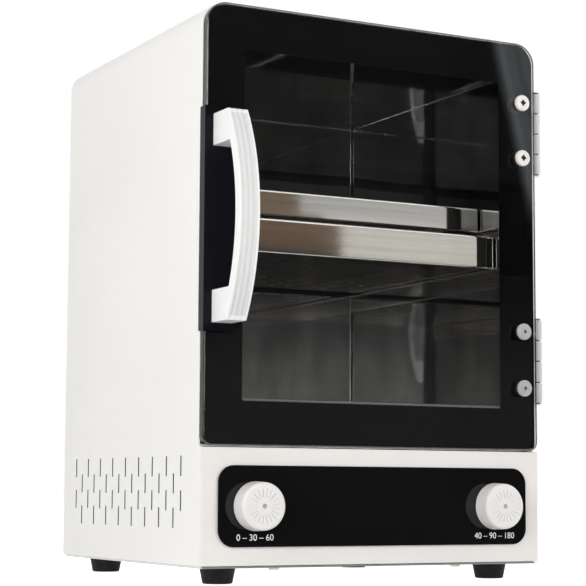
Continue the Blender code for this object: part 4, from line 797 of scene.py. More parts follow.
class Pattern(Nodes):
    """A Geometry Nodes tree that copies one shape over a pattern of points."""

    def __init__(self, name: str, sizes: dict[str, float]) -> None:
        """Make the tree.

        Args:
            name: The tree's name.
            sizes: The pattern's named sizes and their values.
        """
        super().__init__(bpy.data.node_groups.new(name, "GeometryNodeTree"))
        self.sizes = sizes
        face = self.tree.interface
        face.new_socket(name="Geometry", in_out="OUTPUT", socket_type="NodeSocketGeometry")
        kinds = {"Geometry": "Geometry", "Shape": "Object", "Finish": "Material"}
        for label, kind in (kinds | dict.fromkeys(sizes, "Float")).items():
            face.new_socket(name=label, in_out="INPUT", socket_type="NodeSocket" + kind)
        self.inputs = self.add("NodeGroupInput")
        self.index = self.wire(self.add("GeometryNodeInputIndex"))

    def size(self, name: str) -> Wire:
        """Return a named size."""
        return self.wire(self.inputs, name)

    def copies(self, count: object, place: object, turn: object | None = None,
               skip: object | None = None) -> bpy.types.NodeSocket:
        """Copy the shape to points and make the copies real.

        Args:
            count: The number of points.
            place: The points' place, a vector socket.
            turn: The copies' turn, a vector socket of angles.
            skip: A mask of the points to leave out.

        Returns:
            The socket with the copies.
        """
        dots = self.add("GeometryNodePoints", values={"Count": count, "Position": place}).outputs[0]
        values: dict[str | int, object] = {"Points": dots}
        if skip is not None:
            values["Selection"] = self.maths("LESS_THAN", skip, 0.5)
        shape = self.add("GeometryNodeObjectInfo", {"transform_space": "ORIGINAL"},
                         {"Object": self.inputs.outputs["Shape"]}).outputs["Geometry"]
        values["Instance"] = shape
        if turn is not None:
            values["Rotation"] = self.add("FunctionNodeEulerToRotation", values={0: turn}).outputs[0]
        copies = self.add("GeometryNodeInstanceOnPoints", values=values).outputs[0]
        return self.add("GeometryNodeRealizeInstances", values={"Geometry": copies}).outputs[0]

    def vector(self, across: object, along: object, up: object) -> bpy.types.NodeSocket:
        """Return a vector from three numbers."""
        return self.add("ShaderNodeCombineXYZ", values={0: across, 1: along, 2: up}).outputs[0]

    def cut_from_piece(self, copies: bpy.types.NodeSocket) -> bpy.types.NodeSocket:
        """Cut the copies out of the piece that the tree works on."""
        return self.add("GeometryNodeMeshBoolean", {"operation": "DIFFERENCE", "solver": "EXACT"}, {
            "Mesh 1": self.inputs.outputs["Geometry"], "Mesh 2": copies}).outputs[0]

    def run(self, piece: bpy.types.Object, shape: bpy.types.Object, finish: Finish,
            geometry: bpy.types.NodeSocket) -> None:
        """Finish the tree, run it on a piece and turn the result into a plain mesh.

        Args:
            piece: The piece that the tree works on.
            shape: The shape that is copied, removed afterwards.
            finish: The finish of the result.
            geometry: The last socket of the pattern.
        """
        dressed = self.add("GeometryNodeSetMaterial", values={
            "Geometry": geometry, "Material": self.inputs.outputs["Finish"]})
        self.add("NodeGroupOutput", values={0: dressed.outputs[0]})
        change = piece.modifiers.new(self.tree.name, "NODES")
        change.node_group = self.tree
        given = {"Shape": shape, "Finish": finish.material(), **self.sizes}
        for item in self.tree.interface.items_tree:
            if item.item_type == "SOCKET" and item.in_out == "INPUT" and item.name in given:
                change[item.identifier] = given[item.name]
        plain(piece)
        bpy.data.objects.remove(shape, do_unlink=True)
        shade(piece.data)


def set_out(name: str, shape: bpy.types.Object, places: Sequence[Sequence[float]],
            finish: Finish) -> bpy.types.Object:
    """Copy a shape to a list of places with Geometry Nodes.

    Args:
        name: The name of the piece that holds the copies.
        shape: The shape, centred on the origin.
        places: Where the copies go.
        finish: Their finish.

    Returns:
        The piece.
    """
    points = bpy.data.meshes.new(name)
    points.from_pydata([tuple(place) for place in places], [], [])
    piece = placed(name, points)
    pattern = Pattern(name + "_set_out", {})
    where = pattern.add("GeometryNodeSampleIndex", {"data_type": "FLOAT_VECTOR", "domain": "POINT"}, {
        "Geometry": pattern.inputs.outputs["Geometry"],
        "Value": pattern.add("GeometryNodeInputPosition").outputs[0], "Index": pattern.index}).outputs[0]
    pattern.run(piece, shape, finish, pattern.copies(len(places), where))
    return piece


def rows_of_cuts(piece: bpy.types.Object, shape: bpy.types.Object, finish: Finish, start: Sequence[float],
                 counts: tuple[int, int], pitches: Pair, plane: Plane, stagger: bool) -> None:
    """Cut rows of one shape out of a piece with Geometry Nodes.

    Args:
        piece: The sheet that is cut.
        shape: The cutter, centred on the origin.
        finish: The sheet's finish.
        start: The first cut's place.
        counts: The number in a row and the number of rows.
        pitches: The steps along a row and from row to row.
        plane: The plane of the rows.
        stagger: True if every other row is shifted by half a pitch and is one shorter.
    """
    pattern = Pattern(piece.name + "_rows", {"Pitch Along": pitches[0], "Pitch Up": pitches[1]})
    per_row, rows = counts
    row = pattern.maths("FLOOR", pattern.index / per_row)
    column = pattern.index % per_row
    odd = (row + 1) % 2 if stagger else pattern.index * 0
    along = (column + 0.5 * odd) * pattern.size("Pitch Along")
    up = row * pattern.size("Pitch Up")
    skip = odd * pattern.maths("GREATER_THAN", column, per_row - 1.5)
    first, second, _ = (Vector(axis) for axis in plane.value)
    parts = [start[axis] + first[axis] * along + second[axis] * up for axis in range(3)]
    cuts = pattern.copies(per_row * rows, pattern.vector(*parts), skip=skip)
    pattern.run(piece, shape, finish, pattern.cut_from_piece(cuts))


def hand_over(piece: bpy.types.Object, body: str, finish: Finish, *nodes: str) -> None:
    """Let a finished piece ride on a body and stand for its solids.

    Args:
        piece: The piece.
        body: The body.
        finish: Not used.
        nodes: The solids that the piece replaces.
    """
    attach(piece, body)
    if nodes:
        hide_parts(*nodes)
    LOG.info("%s rides on %s and stands for %s", piece.name, body, ", ".join(nodes) or "no solid")


def keep(finish: Finish, *nodes: str) -> None:
    """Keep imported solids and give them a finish.

    Args:
        finish: The finish.
        nodes: The solids.
    """
    for node in nodes:
        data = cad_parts[node].data
        data.materials.clear()
        data.materials.append(finish.material())
        LOG.info("%s keeps its solid", node)


# The cabinet


@dataclass
class Cabinet:
    """Painted sheets, the base and the feet."""

    corner: float = 13.0 * MM
    sheet: float = 1.2 * MM
    fold: float = 0.5 * MM
    bevel: float = 0.3 * MM
    slit: Pair = (1.6 * MM, 11.4 * MM)
    slit_pitch: Pair = (20.0 * MM, 9.6 * MM)
    slit_start: float = 27.2 * MM
    slit_rise: float = 25.7 * MM
    slit_counts: tuple[int, int] = (9, 4)
    slit_margins: Pair = (15.0 * MM, 8.0 * MM)
    notch: float = 4.6 * MM
    overrun: float = 3.0 * MM
    inlet_hole: Pair = (14.0 * MM, 10.5 * MM)
    rear_slit: Pair = (1.6 * MM, 22.8 * MM)
    rear_slit_start: Pair = (40.0 * MM, 30.0 * MM)
    rear_slit_pitch: float = 9.0 * MM
    rear_screw: Pair = (2.8 * MM, 1.6 * MM)
    rear_screw_inset: float = 6.5 * MM
    rear_screw_rows: tuple[float, ...] = (0.04, 0.35, 0.66, 0.94)
    base_screw: Pair = (3.0 * MM, 1.7 * MM)
    base_screw_reach: Pair = (60.0 * MM, 92.0 * MM)

    def build(self) -> None:
        """Build every piece."""
        self.shell()
        self.front_panel()
        self.rear_panel()
        self.feet()
        self.base()

    def shell(self) -> None:
        """Folded shell with slits in both sides and a notch for each hinge."""
        box = Box.of("outer_shell")
        panel = Box.of("front_panel")
        left, right, top = box.low.x, box.high.x, box.high.z
        bend, steps = self.corner - self.sheet, 20
        outer = [(right, box.low.z)]
        inner = [(right - self.sheet, box.low.z)]
        for across, start in ((right - self.corner, 0.0), (left + self.corner, pi / 2)):
            for step in range(steps + 1):
                turn = start + pi / 2 * step / steps
                up = top - self.corner
                outer.append((across + self.corner * cos(turn), up + self.corner * sin(turn)))
                inner.append((across + bend * cos(turn), up + bend * sin(turn)))
        outer.append((left, box.low.z))
        inner.append((left + self.sheet, box.low.z))
        form = Form("shell_painted").slab(outer + inner[::-1], Plane.FRONT, box.low.y, box.high.y)
        shell = form.build(Finishes.paint)
        door_y = Box.of("door_glass").high.y + 2 * CLEARANCE
        step_cut = Form("step_cut").block(
            (left - self.overrun, box.low.y - self.overrun, panel.high.z + CLEARANCE),
            (right + self.overrun, door_y, top + self.overrun)).build()
        notches = Form("hinge_notches")
        for place in ("upper", "lower"):
            leaf = Box.of(f"hinge_{place}_door_leaf")
            notches.block(
                (right - self.sheet - self.overrun, box.low.y - self.overrun, leaf.low.z - CLEARANCE),
                (right + self.overrun, leaf.low.y + self.notch, leaf.high.z + CLEARANCE))
        carve(shell, step_cut, notches.build())
        soften(shell, self.bevel, 2)
        width, length = self.slit
        for side in (left, right):
            cutter = Form("slit").slab(centred(width, length, width * 0.3, 3), Plane.SIDE,
                                       -self.overrun, self.overrun).build()
            start = (side, self.slit_start + panel.low.y, box.low.z + self.slit_rise)
            rows_of_cuts(shell, cutter, Finishes.paint, start, self.slit_counts, self.slit_pitch, Plane.SIDE,
                         True)
        even(shell)
        # Painted shade: the cut walls of the side slits get the near-black copy of the paint.
        front, back = box.low.y + self.slit_margins[0], box.high.y - self.slit_margins[1]
        rows = 3.2 * self.slit_pitch[1]
        low, high = start[2] - length, start[2] + length / 2 + rows
        tint(shell, Finishes.slit_painted_shade, lambda face: (
            abs(face.normal.x) < 0.5 and front < face.center.y < back and low < face.center.z < high))
        hand_over(shell, "cabinet", Finishes.paint, "outer_shell")

    def front_panel(self) -> None:
        """Lower front panel: a face and a return folded back along its top."""
        box = Box.of("front_panel")
        shell = Box.of("outer_shell")
        # Painted shade: the panel's face gets the darker copy of the white paint.
        face = Form("front_panel_painted").block(
            box.low, (box.high.x, box.low.y + self.sheet, box.high.z)).build(Finishes.front_face_painted_shade)
        inside = self.sheet + CLEARANCE
        ledge = Form("ledge").block(
            (shell.low.x + inside, box.low.y + self.sheet / 2, box.high.z - self.sheet),
            (shell.high.x - inside, box.high.y, box.high.z)).build()
        carve(face, ledge, operation="UNION")
        soften(face, self.fold, 4)
        hand_over(face, "cabinet", Finishes.front_face_painted_shade, "front_panel")

    def rear_panel(self) -> None:
        """Rear panel with its slits, its screws and the mains inlet."""
        box = Box.of("rear_panel")
        bend = self.corner - self.sheet
        outline = box.outline((SMALL_RADIUS, SMALL_RADIUS, bend, bend))
        form = Form("rear_panel_painted").slab(outline, Plane.FRONT, box.low.y, box.high.y)
        panel = form.build(Finishes.paint)
        middle = Box.of("inlet_socket").middle
        wide, high = self.inlet_hole
        hole = Form("inlet_hole").block(
            (middle.x - wide, box.low.y - self.overrun, middle.z - high),
            (middle.x + wide, box.high.y + self.overrun, middle.z + high)).build()
        carve(panel, hole)
        soften(panel, self.bevel, 2)
        cutter = Form("rear_slit").slab(centred(*self.rear_slit, 0.7 * MM, 4), Plane.FRONT,
                                        -self.overrun, self.overrun).build()
        start = (Box.of("outer_shell").low.x + self.rear_slit_start[0], box.middle.y,
                 box.low.z + self.rear_slit_start[1])
        rows_of_cuts(panel, cutter, Finishes.paint, start, (self.slit_counts[0], 1),
                     (self.rear_slit_pitch, 0.0), Plane.FRONT, False)
        even(panel)
        hand_over(panel, "cabinet", Finishes.paint, "rear_panel")
        head = pan_head("rear_screw", *self.rear_screw, flip=True)
        span, inset = box.high.z - box.low.z, self.rear_screw_inset
        places = [(side, box.high.y + 0.02 * MM, box.low.z + span * share)
                  for side in (box.low.x + inset, box.high.x - inset) for share in self.rear_screw_rows]
        screws = set_out("rear_screws", head, places, Finishes.polished_screw)
        hand_over(screws, "cabinet", Finishes.polished_screw)

    def feet(self) -> None:
        """Four tapered rubber feet with a soft lower edge and a recess for the screw."""
        places = ("front_left", "front_right", "rear_left", "rear_right")
        box = Box.of("foot_front_left")
        top = (box.high.x - box.low.x) / 2
        base, edge, height = 8.6 * MM, 1.3 * MM, box.high.z
        hole, recess, rise = 2.3 * MM, 4.3 * MM, 4.5 * MM
        profile = [(recess, 0.0), (base - edge, 0.0)]
        profile += [(base - edge + edge * sine, edge - edge * cosine) for sine, cosine in quarter(6)[1:]]
        profile += [(top - 0.35 * MM, height - 0.6 * MM), (top, height - 0.25 * MM), (top - 0.2 * MM, height),
                    (hole, height), (hole, rise), (recess, rise)]
        foot = Form("foot").turned(profile, (0, 0), Plane.TOP, 64, closed=True).build()
        where = [Box.of("foot_" + place).middle for place in places]
        feet = set_out("feet_rubber", foot, [(spot.x, spot.y, 0.0) for spot in where], Finishes.rubber)
        hand_over(feet, "cabinet", Finishes.rubber, *["foot_" + place for place in places])
        keep(Finishes.zinc, *["foot_screw_" + place for place in places])

    def base(self) -> None:
        """Base plate, and the screws that hold it, whose heads show below the front edge."""
        keep(Finishes.zinc, "base_plate", "divider_plate")
        box = Box.of("base_plate")
        head = pan_head("base_screw", *self.base_screw, down=True)
        middle = box.middle
        wide, deep = self.base_screw_reach
        places = [(middle.x + across, middle.y + along, box.low.z)
                  for across in (-wide, wide) for along in (-deep, 0.0, deep)]
        screws = set_out("base_screws", head, places, Finishes.bright_screw)
        hand_over(screws, "cabinet", Finishes.bright_screw)


def pan_head(name: str, radius: float, height: float, flip: bool = False, down: bool = False,
             cross: Pair = (0.42, 0.11)) -> bpy.types.Object:
    """Return a cross-head screw's head, centred on the origin.

    Args:
        name: The shape's name.
        radius: The head's radius.
        height: The head's height.
        flip: True for a head that faces the back.
        down: True for a head that faces down.
        cross: The cross's reach and half its width, as shares of the radius.

    Returns:
        The shape.
    """
    way = 1.0 if flip else -1.0
    plane = Plane.TOP if down else Plane.FRONT
    rim = 0.4 * height
    profile = [(radius * 0.98, 0.0), (radius, way * 0.12 * height)]
    profile += [(radius - rim * (1 - cosine), way * (height - rim + rim * sine) * 0.96)
                for sine, cosine in quarter(8)]
    profile.append((radius * 0.35, way * height))
    screw = Form(name).turned(profile, (0, 0), plane, 64).build()
    reach, half = radius * cross[0], radius * cross[1]
    deep = way * height * 0.35
    for across, up in ((reach, half), (half, reach)):
        outline = [(-across, -up), (across, -up), (across, up), (-across, up)]
        carve(screw, Form(name + "_slot").slab(outline, plane, deep, way * height * 1.5).build())
    return screw


# Controls


@dataclass
class Controls:
    """Black plate, plain numbers and two knobs."""

    plate_corner: float = 9.5 * MM
    face_radius: float = 13.2 * MM
    edge: float = 1.9 * MM
    dimple: float = 1.4 * MM
    dimple_depth: float = 0.6 * MM
    rays: int = 20
    ray: tuple[float, float, float] = (0.37, 0.72, 0.42 * MM)
    ray_depth: float = 0.45 * MM
    digit: float = 5.0 * MM
    digit_rise: float = 3.6 * MM
    ink: float = 0.02 * MM

    def build(self) -> None:
        """Build every piece."""
        self.plate()
        for side, text in (("timer", "0 – 30 – 60"), ("temperature", "40 – 90 – 180")):
            self.knob(side)
            self.numbers(side, text)
        keep(Finishes.zinc, "timer_shaft", "temperature_shaft")
        keep(Finishes.dark_plastic, "timer_body", "thermostat_body")

    def plate(self) -> None:
        """Gloss black plate with round corners."""
        box = Box.of("control_plate")
        outline = box.outline([self.plate_corner] * 4, 20)
        form = Form("control_plate_gloss").slab(outline, Plane.FRONT, box.low.y, box.high.y)
        plate = form.build(Finishes.gloss_black)
        soften(plate, 0.25 * MM, 3)
        hand_over(plate, "cabinet", Finishes.gloss_black, "control_plate")

    def knob(self, side: str) -> None:
        """Build a round knob with a soft front edge, engraved rays and a grey dimple.

        Args:
            side: The knob's use, which starts its node's name.
        """
        box = Box.of(side + "_knob")
        middle = box.middle
        centre = (middle.x, middle.z)
        front, back = box.low.y, box.high.y
        wide = (box.high.x - box.low.x) / 2
        profile = [(wide - 0.5 * MM, back), (wide, back - 0.5 * MM)]
        profile += [(self.face_radius - self.edge * (1 - cosine), front + self.edge * (1 - sine))
                    for sine, cosine in quarter(10)]
        profile += [(self.face_radius * 0.5, front), (self.dimple, front)]
        profile += [(self.dimple * cosine, front + self.dimple_depth * sine)
                    for sine, cosine in quarter(6)[1:-1]]
        form = Form(side + "_knob_white").turned(profile, centre, Plane.FRONT, 96)
        knob = form.build(Finishes.white_knob, 50.0)
        start, end, width = self.ray
        length = (end - start) * self.face_radius
        cutter = Form(side + "_ray").slab(centred(length, width, width * 0.45, 3), Plane.FRONT,
                                          -1.0 * MM, self.ray_depth).build()
        pattern = Pattern(side + "_knob_rays", {"Radius": (start + end) / 2 * self.face_radius})
        turn = (pattern.index + 0.5) * (2 * pi / self.rays)
        radius = pattern.size("Radius")
        place = pattern.vector(middle.x + radius * pattern.maths("COSINE", turn), front,
                               middle.z + radius * pattern.maths("SINE", turn))
        cuts = pattern.copies(self.rays, place, pattern.vector(0.0, turn * -1.0, 0.0))
        pattern.run(knob, cutter, Finishes.white_knob, pattern.cut_from_piece(cuts))
        even(knob, 40.0)
        tint(knob, Finishes.knob_dimple, lambda face: (
            hypot(face.center.x - centre[0], face.center.z - centre[1]) < self.dimple * 0.98
            and face.center.y < front + 1.0 * MM))
        hand_over(knob, side + "_knob", Finishes.white_knob, side + "_knob")

    def numbers(self, side: str, text: str) -> None:
        """Print the plain numbers below a knob.

        Args:
            side: The knob's use, which starts its node's name.
            text: The numbers.
        """
        knob = Box.of(side + "_knob").middle
        plate = Box.of("control_plate")
        font = bpy.data.curves.new(side + "_numbers", "FONT")
        font.body = text
        font.size = self.digit
        font.align_x = "CENTER"
        font.extrude = self.ink
        words = placed(side + "_numbers", font)
        graph = bpy.context.evaluated_depsgraph_get()
        data = bpy.data.meshes.new_from_object(words.evaluated_get(graph), depsgraph=graph)
        bpy.data.objects.remove(words, do_unlink=True)
        spot = Vector((knob.x, plate.low.y - 0.03 * MM, plate.low.z + self.digit_rise))
        data.transform(Matrix.Translation(spot) @ Matrix.Rotation(pi / 2, 4, "X"))
        data.materials.clear()
        data.materials.append(Finishes.white_ink.material())
        hand_over(placed(side + "_numbers", data), "cabinet", Finishes.white_ink)


# The door


@dataclass(frozen=True)
class Hinge:
    """Butt hinge: two leaves with their knuckles, the pin and the rivets."""

    place: str
    barrel: float = 3.1 * MM
    bore: float = 1.9 * MM
    sheet: float = 1.2 * MM
    gap: float = 0.34 * MM
    edge: float = 0.4 * MM
    knuckles: int = 4
    door_leaf: float = 4.3 * MM
    door_tab: Pair = (5.0 * MM, 2.4 * MM)
    side_leaf: Pair = (3.7 * MM, 2.5 * MM)
    side_tab: float = 2.52 * MM
    rivet: Profile = ((3.0 * MM, -0.1 * MM), (3.0 * MM, 0.3 * MM), (2.6 * MM, 0.7 * MM),
                      (1.6 * MM, 0.95 * MM), (0.4 * MM, 1.0 * MM))
    rivet_reach: float = 17.0 * MM
    dome: float = 0.8 * MM
    rod: float = 1.8 * MM

    def build(self) -> None:
        """Build both leaves and the pin."""
        pin = Box.of(f"hinge_{self.place}_pin")
        axis = (pin.middle.x, pin.middle.y)
        plates = (("door", "door", self.door_plate), ("side", "cabinet", self.side_plate))
        for first, (side, body, plate) in enumerate(plates):
            node = f"hinge_{self.place}_{side}_leaf"
            box = Box.of(node)
            pitch = (box.high.z - box.low.z) / self.knuckles
            spans = [(box.high.z - pitch * (index + 1) + self.gap, box.high.z - pitch * index - self.gap)
                     for index in range(first, self.knuckles, 2)]
            form = Form(node + "_steel")
            plate(form, box, axis, spans)
            for low, high in spans:
                form.turned([(self.bore, low), (self.barrel - self.edge, low), (self.barrel, low + self.edge),
                             (self.barrel, high - self.edge), (self.barrel - self.edge, high),
                             (self.bore, high)], axis, Plane.TOP, 40, closed=True)
            leaf = form.build(Finishes.hinge_steel)
            soften(leaf, 0.18 * MM, 2, 60.0)
            hand_over(leaf, body, Finishes.hinge_steel, node)
        self.pin(pin, axis)

    def door_plate(self, form: Form, box: Box, axis: Point, spans: Sequence[Pair]) -> None:
        """Add the leaf that lies behind the glass.

        Args:
            form: The leaf under construction.
            box: The box of its solid.
            axis: The hinge's axis, seen from above.
            spans: The heights of the leaf's knuckles.
        """
        form.block((box.low.x, axis[1], box.low.z),
                   (axis[0] - self.door_leaf, axis[1] + self.sheet, box.high.z))
        for low, high in spans:
            form.block((axis[0] - self.door_tab[0], axis[1] + 0.02 * MM, low),
                       (axis[0] - self.door_tab[1], axis[1] + self.sheet, high))

    def side_plate(self, form: Form, box: Box, axis: Point, spans: Sequence[Pair]) -> None:
        """Add the leaf that lies on the cabinet's side, with its rivets.

        Args:
            form: The leaf under construction.
            box: The box of its solid.
            axis: The hinge's axis, seen from above.
            spans: The heights of the leaf's knuckles.
        """
        clear = axis[1] + self.barrel + CLEARANCE
        inner, outer = (axis[0] - inset for inset in self.side_leaf)
        form.block((inner, clear, box.low.z), (outer, box.high.y, box.high.z))
        for low, high in spans:
            form.block((inner, axis[1] + CLEARANCE, low), (axis[0] - self.side_tab, clear + 0.5 * MM, high))
        for way in (-1, 1):
            centre = ((clear + box.high.y) / 2, box.middle.z + self.rivet_reach * way)
            form.turned([(radius, outer + rise) for radius, rise in self.rivet], centre, Plane.SIDE, 40)

    def pin(self, box: Box, axis: Point) -> None:
        """Build the pin, with painted shade on it between its heads, where it shows in the knuckles' gaps.

        Args:
            box: The box of its solid.
            axis: The hinge's axis, seen from above.
        """
        low, high = box.low.z, box.high.z
        head, dome = (box.high.x - box.low.x) / 2, self.dome
        profile = [(0.6 * MM, low), (head * 0.8, low + 0.15 * MM), (head, low + 0.5 * MM), (head, low + dome),
                   (self.rod, low + dome), (self.rod, high - dome), (head, high - dome),
                   (head, high - 0.5 * MM), (head * 0.8, high - 0.15 * MM), (0.6 * MM, high)]
        form = Form(f"hinge_{self.place}_rod").turned(profile, axis, Plane.TOP, 32)
        rod = form.build(Finishes.hinge_steel, 50.0)
        # Painted shade: the rod between the heads gets the near-black colour.
        tint(rod, Finishes.screw_recess, lambda face: low + dome < face.center.z < high - dome)
        hand_over(rod, "cabinet", Finishes.hinge_steel, f"hinge_{self.place}_pin")


@dataclass
class Door:
    """Glass pane, its print, the handle, the hinges and the screws."""

    top_corner: float = 13.0 * MM
    low_corner: float = 5.0 * MM
    arris: float = 0.9 * MM
    inset: float = 0.45 * MM
    window: tuple[float, float, float] = (25.1 * MM, 24.5 * MM, 25.0 * MM)
    window_corner: float = 1.6 * MM
    flute: float = 0.38 * MM
    flutes: int = 3
    fluted: float = 0.76

    def build(self) -> None:
        """Build every piece."""
        self.pane()
        self.printed_border()
        self.gasket()
        self.handle_plate()
        self.handle()
        self.screws()
        for place in ("upper", "lower"):
            Hinge(place).build()
        keep(Finishes.zinc, "handle_screw_upper", "handle_screw_lower", "catch_strike")
        keep(Finishes.magnet, "catch_magnet")

    def outline(self, box: Box, inset: float) -> list[Point]:
        """Return the pane's outline, drawn in by an inset."""
        low, top = self.low_corner - inset, self.top_corner - inset
        return box.outline((low, low, top, top), 24, inset)

    def pane(self) -> None:
        """Pane with a polished arris round both faces."""
        box = Box.of("door_glass")
        arris = self.arris
        half = [(arris, 0.0), (0.12 * arris, 0.88 * arris), (0.0, 1.1 * arris)]
        stations = [(inset, box.low.y + depth) for inset, depth in half]
        stations += [(inset, box.high.y - depth) for inset, depth in reversed(half)]
        rings = [Plane.FRONT.ring(self.outline(box, inset), depth) for inset, depth in stations]
        pane = Form("door_pane").loft(rings).build(Finishes.glass, 20.0)
        hand_over(pane, "door", Finishes.glass, "door_glass")

    def printed_border(self) -> None:
        """Black border behind the glass, open at the window."""
        box = Box.of("door_border")
        pane = Box.of("door_glass")
        left, right, end = self.window
        outer = self.outline(pane, self.inset)
        inner = rounded(pane.low.x + left, pane.high.x - right, pane.low.z + end, pane.high.z - end,
                        [self.window_corner] * 4, 24)
        form = Form("door_print").hoop(outer, inner, Plane.FRONT, box.low.y, box.high.y)
        border = form.build(Finishes.black_print)
        # Painted light: the inner faces of the print get the faintly glowing finish.
        tint(border, Finishes.inner_print_painted_glow, lambda face: face.normal.y > 0.5)
        hand_over(border, "door", Finishes.black_print, "door_border")

    def gasket(self) -> None:
        """Silicone gasket with a round lip."""
        box = Box.of("door_gasket")
        width, corner, steps = 2.6 * MM, 5.0 * MM, 10
        half = (box.high.y - box.low.y) / 2
        rings = []
        for step in range(steps):
            turn = 2 * pi * step / steps
            inset = width / 2 * (1 - cos(turn))
            outline = box.outline([corner - inset] * 4, 8, inset)
            rings.append(Plane.FRONT.ring(outline, box.middle.y + half * sin(turn)))
        gasket = Form("gasket_lip").loft(rings, closed=True).build(Finishes.silicone, 60.0)
        hand_over(gasket, "cabinet", Finishes.silicone, "door_gasket")

    def handle_plate(self) -> None:
        """Dark plate behind the handle, folded round the glass's edge."""
        box = Box.of("handle_bracket")
        sheet, corner = 1.0 * MM, 8.0 * MM
        outline = box.outline((SMALL_RADIUS, corner, corner, SMALL_RADIUS), 20)
        form = Form("handle_plate").slab(outline, Plane.FRONT, box.low.y, box.low.y + sheet)
        plate = form.build(Finishes.dark_plate)
        wing = Form("wing").block(
            (box.low.x, box.low.y + sheet / 2, box.low.z + SMALL_RADIUS),
            (box.low.x + sheet, box.high.y, box.high.z - SMALL_RADIUS)).build()
        carve(plate, wing, operation="UNION")
        soften(plate, 0.22 * MM, 3)
        hand_over(plate, "door", Finishes.dark_plate, "handle_bracket")

    def handle(self) -> None:
        """Bowed handle with three flutes along its outer face."""
        box = Box.of("handle")
        arc, bar, leg = 115.0 * MM, 5.3 * MM, 18.0 * MM
        half = (box.high.x - box.low.x) / 2
        reach = (box.high.z - box.low.z) / 2
        back, centre_y = box.high.y, box.low.y + arc
        steps, ribs = 48, 36

        def side_outline(flute: float) -> list[Point]:
            """Draw the handle from the side.

            Args:
                flute: How deep the outer face lies below its crest.

            Returns:
                The outline's points.
            """
            points = [(back, reach)]
            for radius, height, way in ((arc - flute, reach, 1), (arc - bar, reach - leg, -1)):
                if way < 0:
                    points += [(back, -reach), (back, leg - reach)]
                for step in range(steps + 1):
                    up = way * height * (1 - 2 * step / steps)
                    points.append((centre_y - sqrt(radius ** 2 - up ** 2), up))
            points.append((back, reach - leg))
            return [(along, box.middle.z + up) for along, up in points]

        rings = []
        for rib in range(ribs + 1):
            share = -1 + 2 * rib / ribs
            flute = 0.0
            if abs(share) < self.fluted:
                turn = 2 * pi * (share + self.fluted) / (2 * self.fluted) * self.flutes
                flute = self.flute * (0.5 - 0.5 * cos(turn))
            rings.append(Plane.SIDE.ring(side_outline(flute), box.middle.x + half * share))
        handle = Form("handle_white").loft(rings).build(Finishes.white_handle, 40.0)
        soften(handle, 1.1 * MM, 4, 50.0)
        # Painted shade: the front-facing faces of the fluted part get the darker copy of the white.
        tint(handle, Finishes.handle_front_painted_shade, lambda face: (
            abs(face.center.x - box.middle.x) < 0.78 * half and face.normal.y < -0.5
            and abs(face.center.z - box.middle.z) < reach - 1.5 * MM))
        hand_over(handle, "door", Finishes.white_handle, "handle")

    def screws(self) -> None:
        """Two pairs of cross-head screws through the glass."""
        kinds = (("upper", Finishes.bright_screw, Finishes.screw_recess, (0.36, 0.15)),
                 ("lower", Finishes.polished_screw, Finishes.screw_star, (0.24, 0.09)))
        for pair, finish, recess, cross in kinds:
            nodes = [f"glass_screw_{pair}_{end}" for end in ("top", "bottom")]
            boxes = [Box.of(node) for node in nodes]
            radius = (boxes[0].high.x - boxes[0].low.x) / 2
            head_y = Box.of("door_glass").low.y - CLEARANCE
            shape = pan_head(pair + "_screw", radius, head_y - boxes[0].low.y, cross=cross)
            depth = boxes[0].high.y - head_y
            profile = [(2.0 * MM, -0.1 * MM), (2.0 * MM, depth - 0.4 * MM), (1.6 * MM, depth)]
            shank = Form("shank").turned(profile, (0, 0), Plane.FRONT, 32).build()
            carve(shape, shank, operation="UNION")
            places = [(box.middle.x, head_y, box.middle.z) for box in boxes]
            screws = set_out(f"glass_screws_{pair}", shape, places, finish)
            # Painted shade: the faces inside each carved cross recess get a dark recess colour.
            face_y, reach = boxes[0].low.y + 0.05 * MM, radius * (cross[0] + 0.02)
            tint(screws, recess, lambda face: face_y < face.center.y < head_y and reach > min(
                hypot(face.center.x - place[0], face.center.z - place[2]) for place in places))
            hand_over(screws, "door", finish, *nodes)


# The chamber


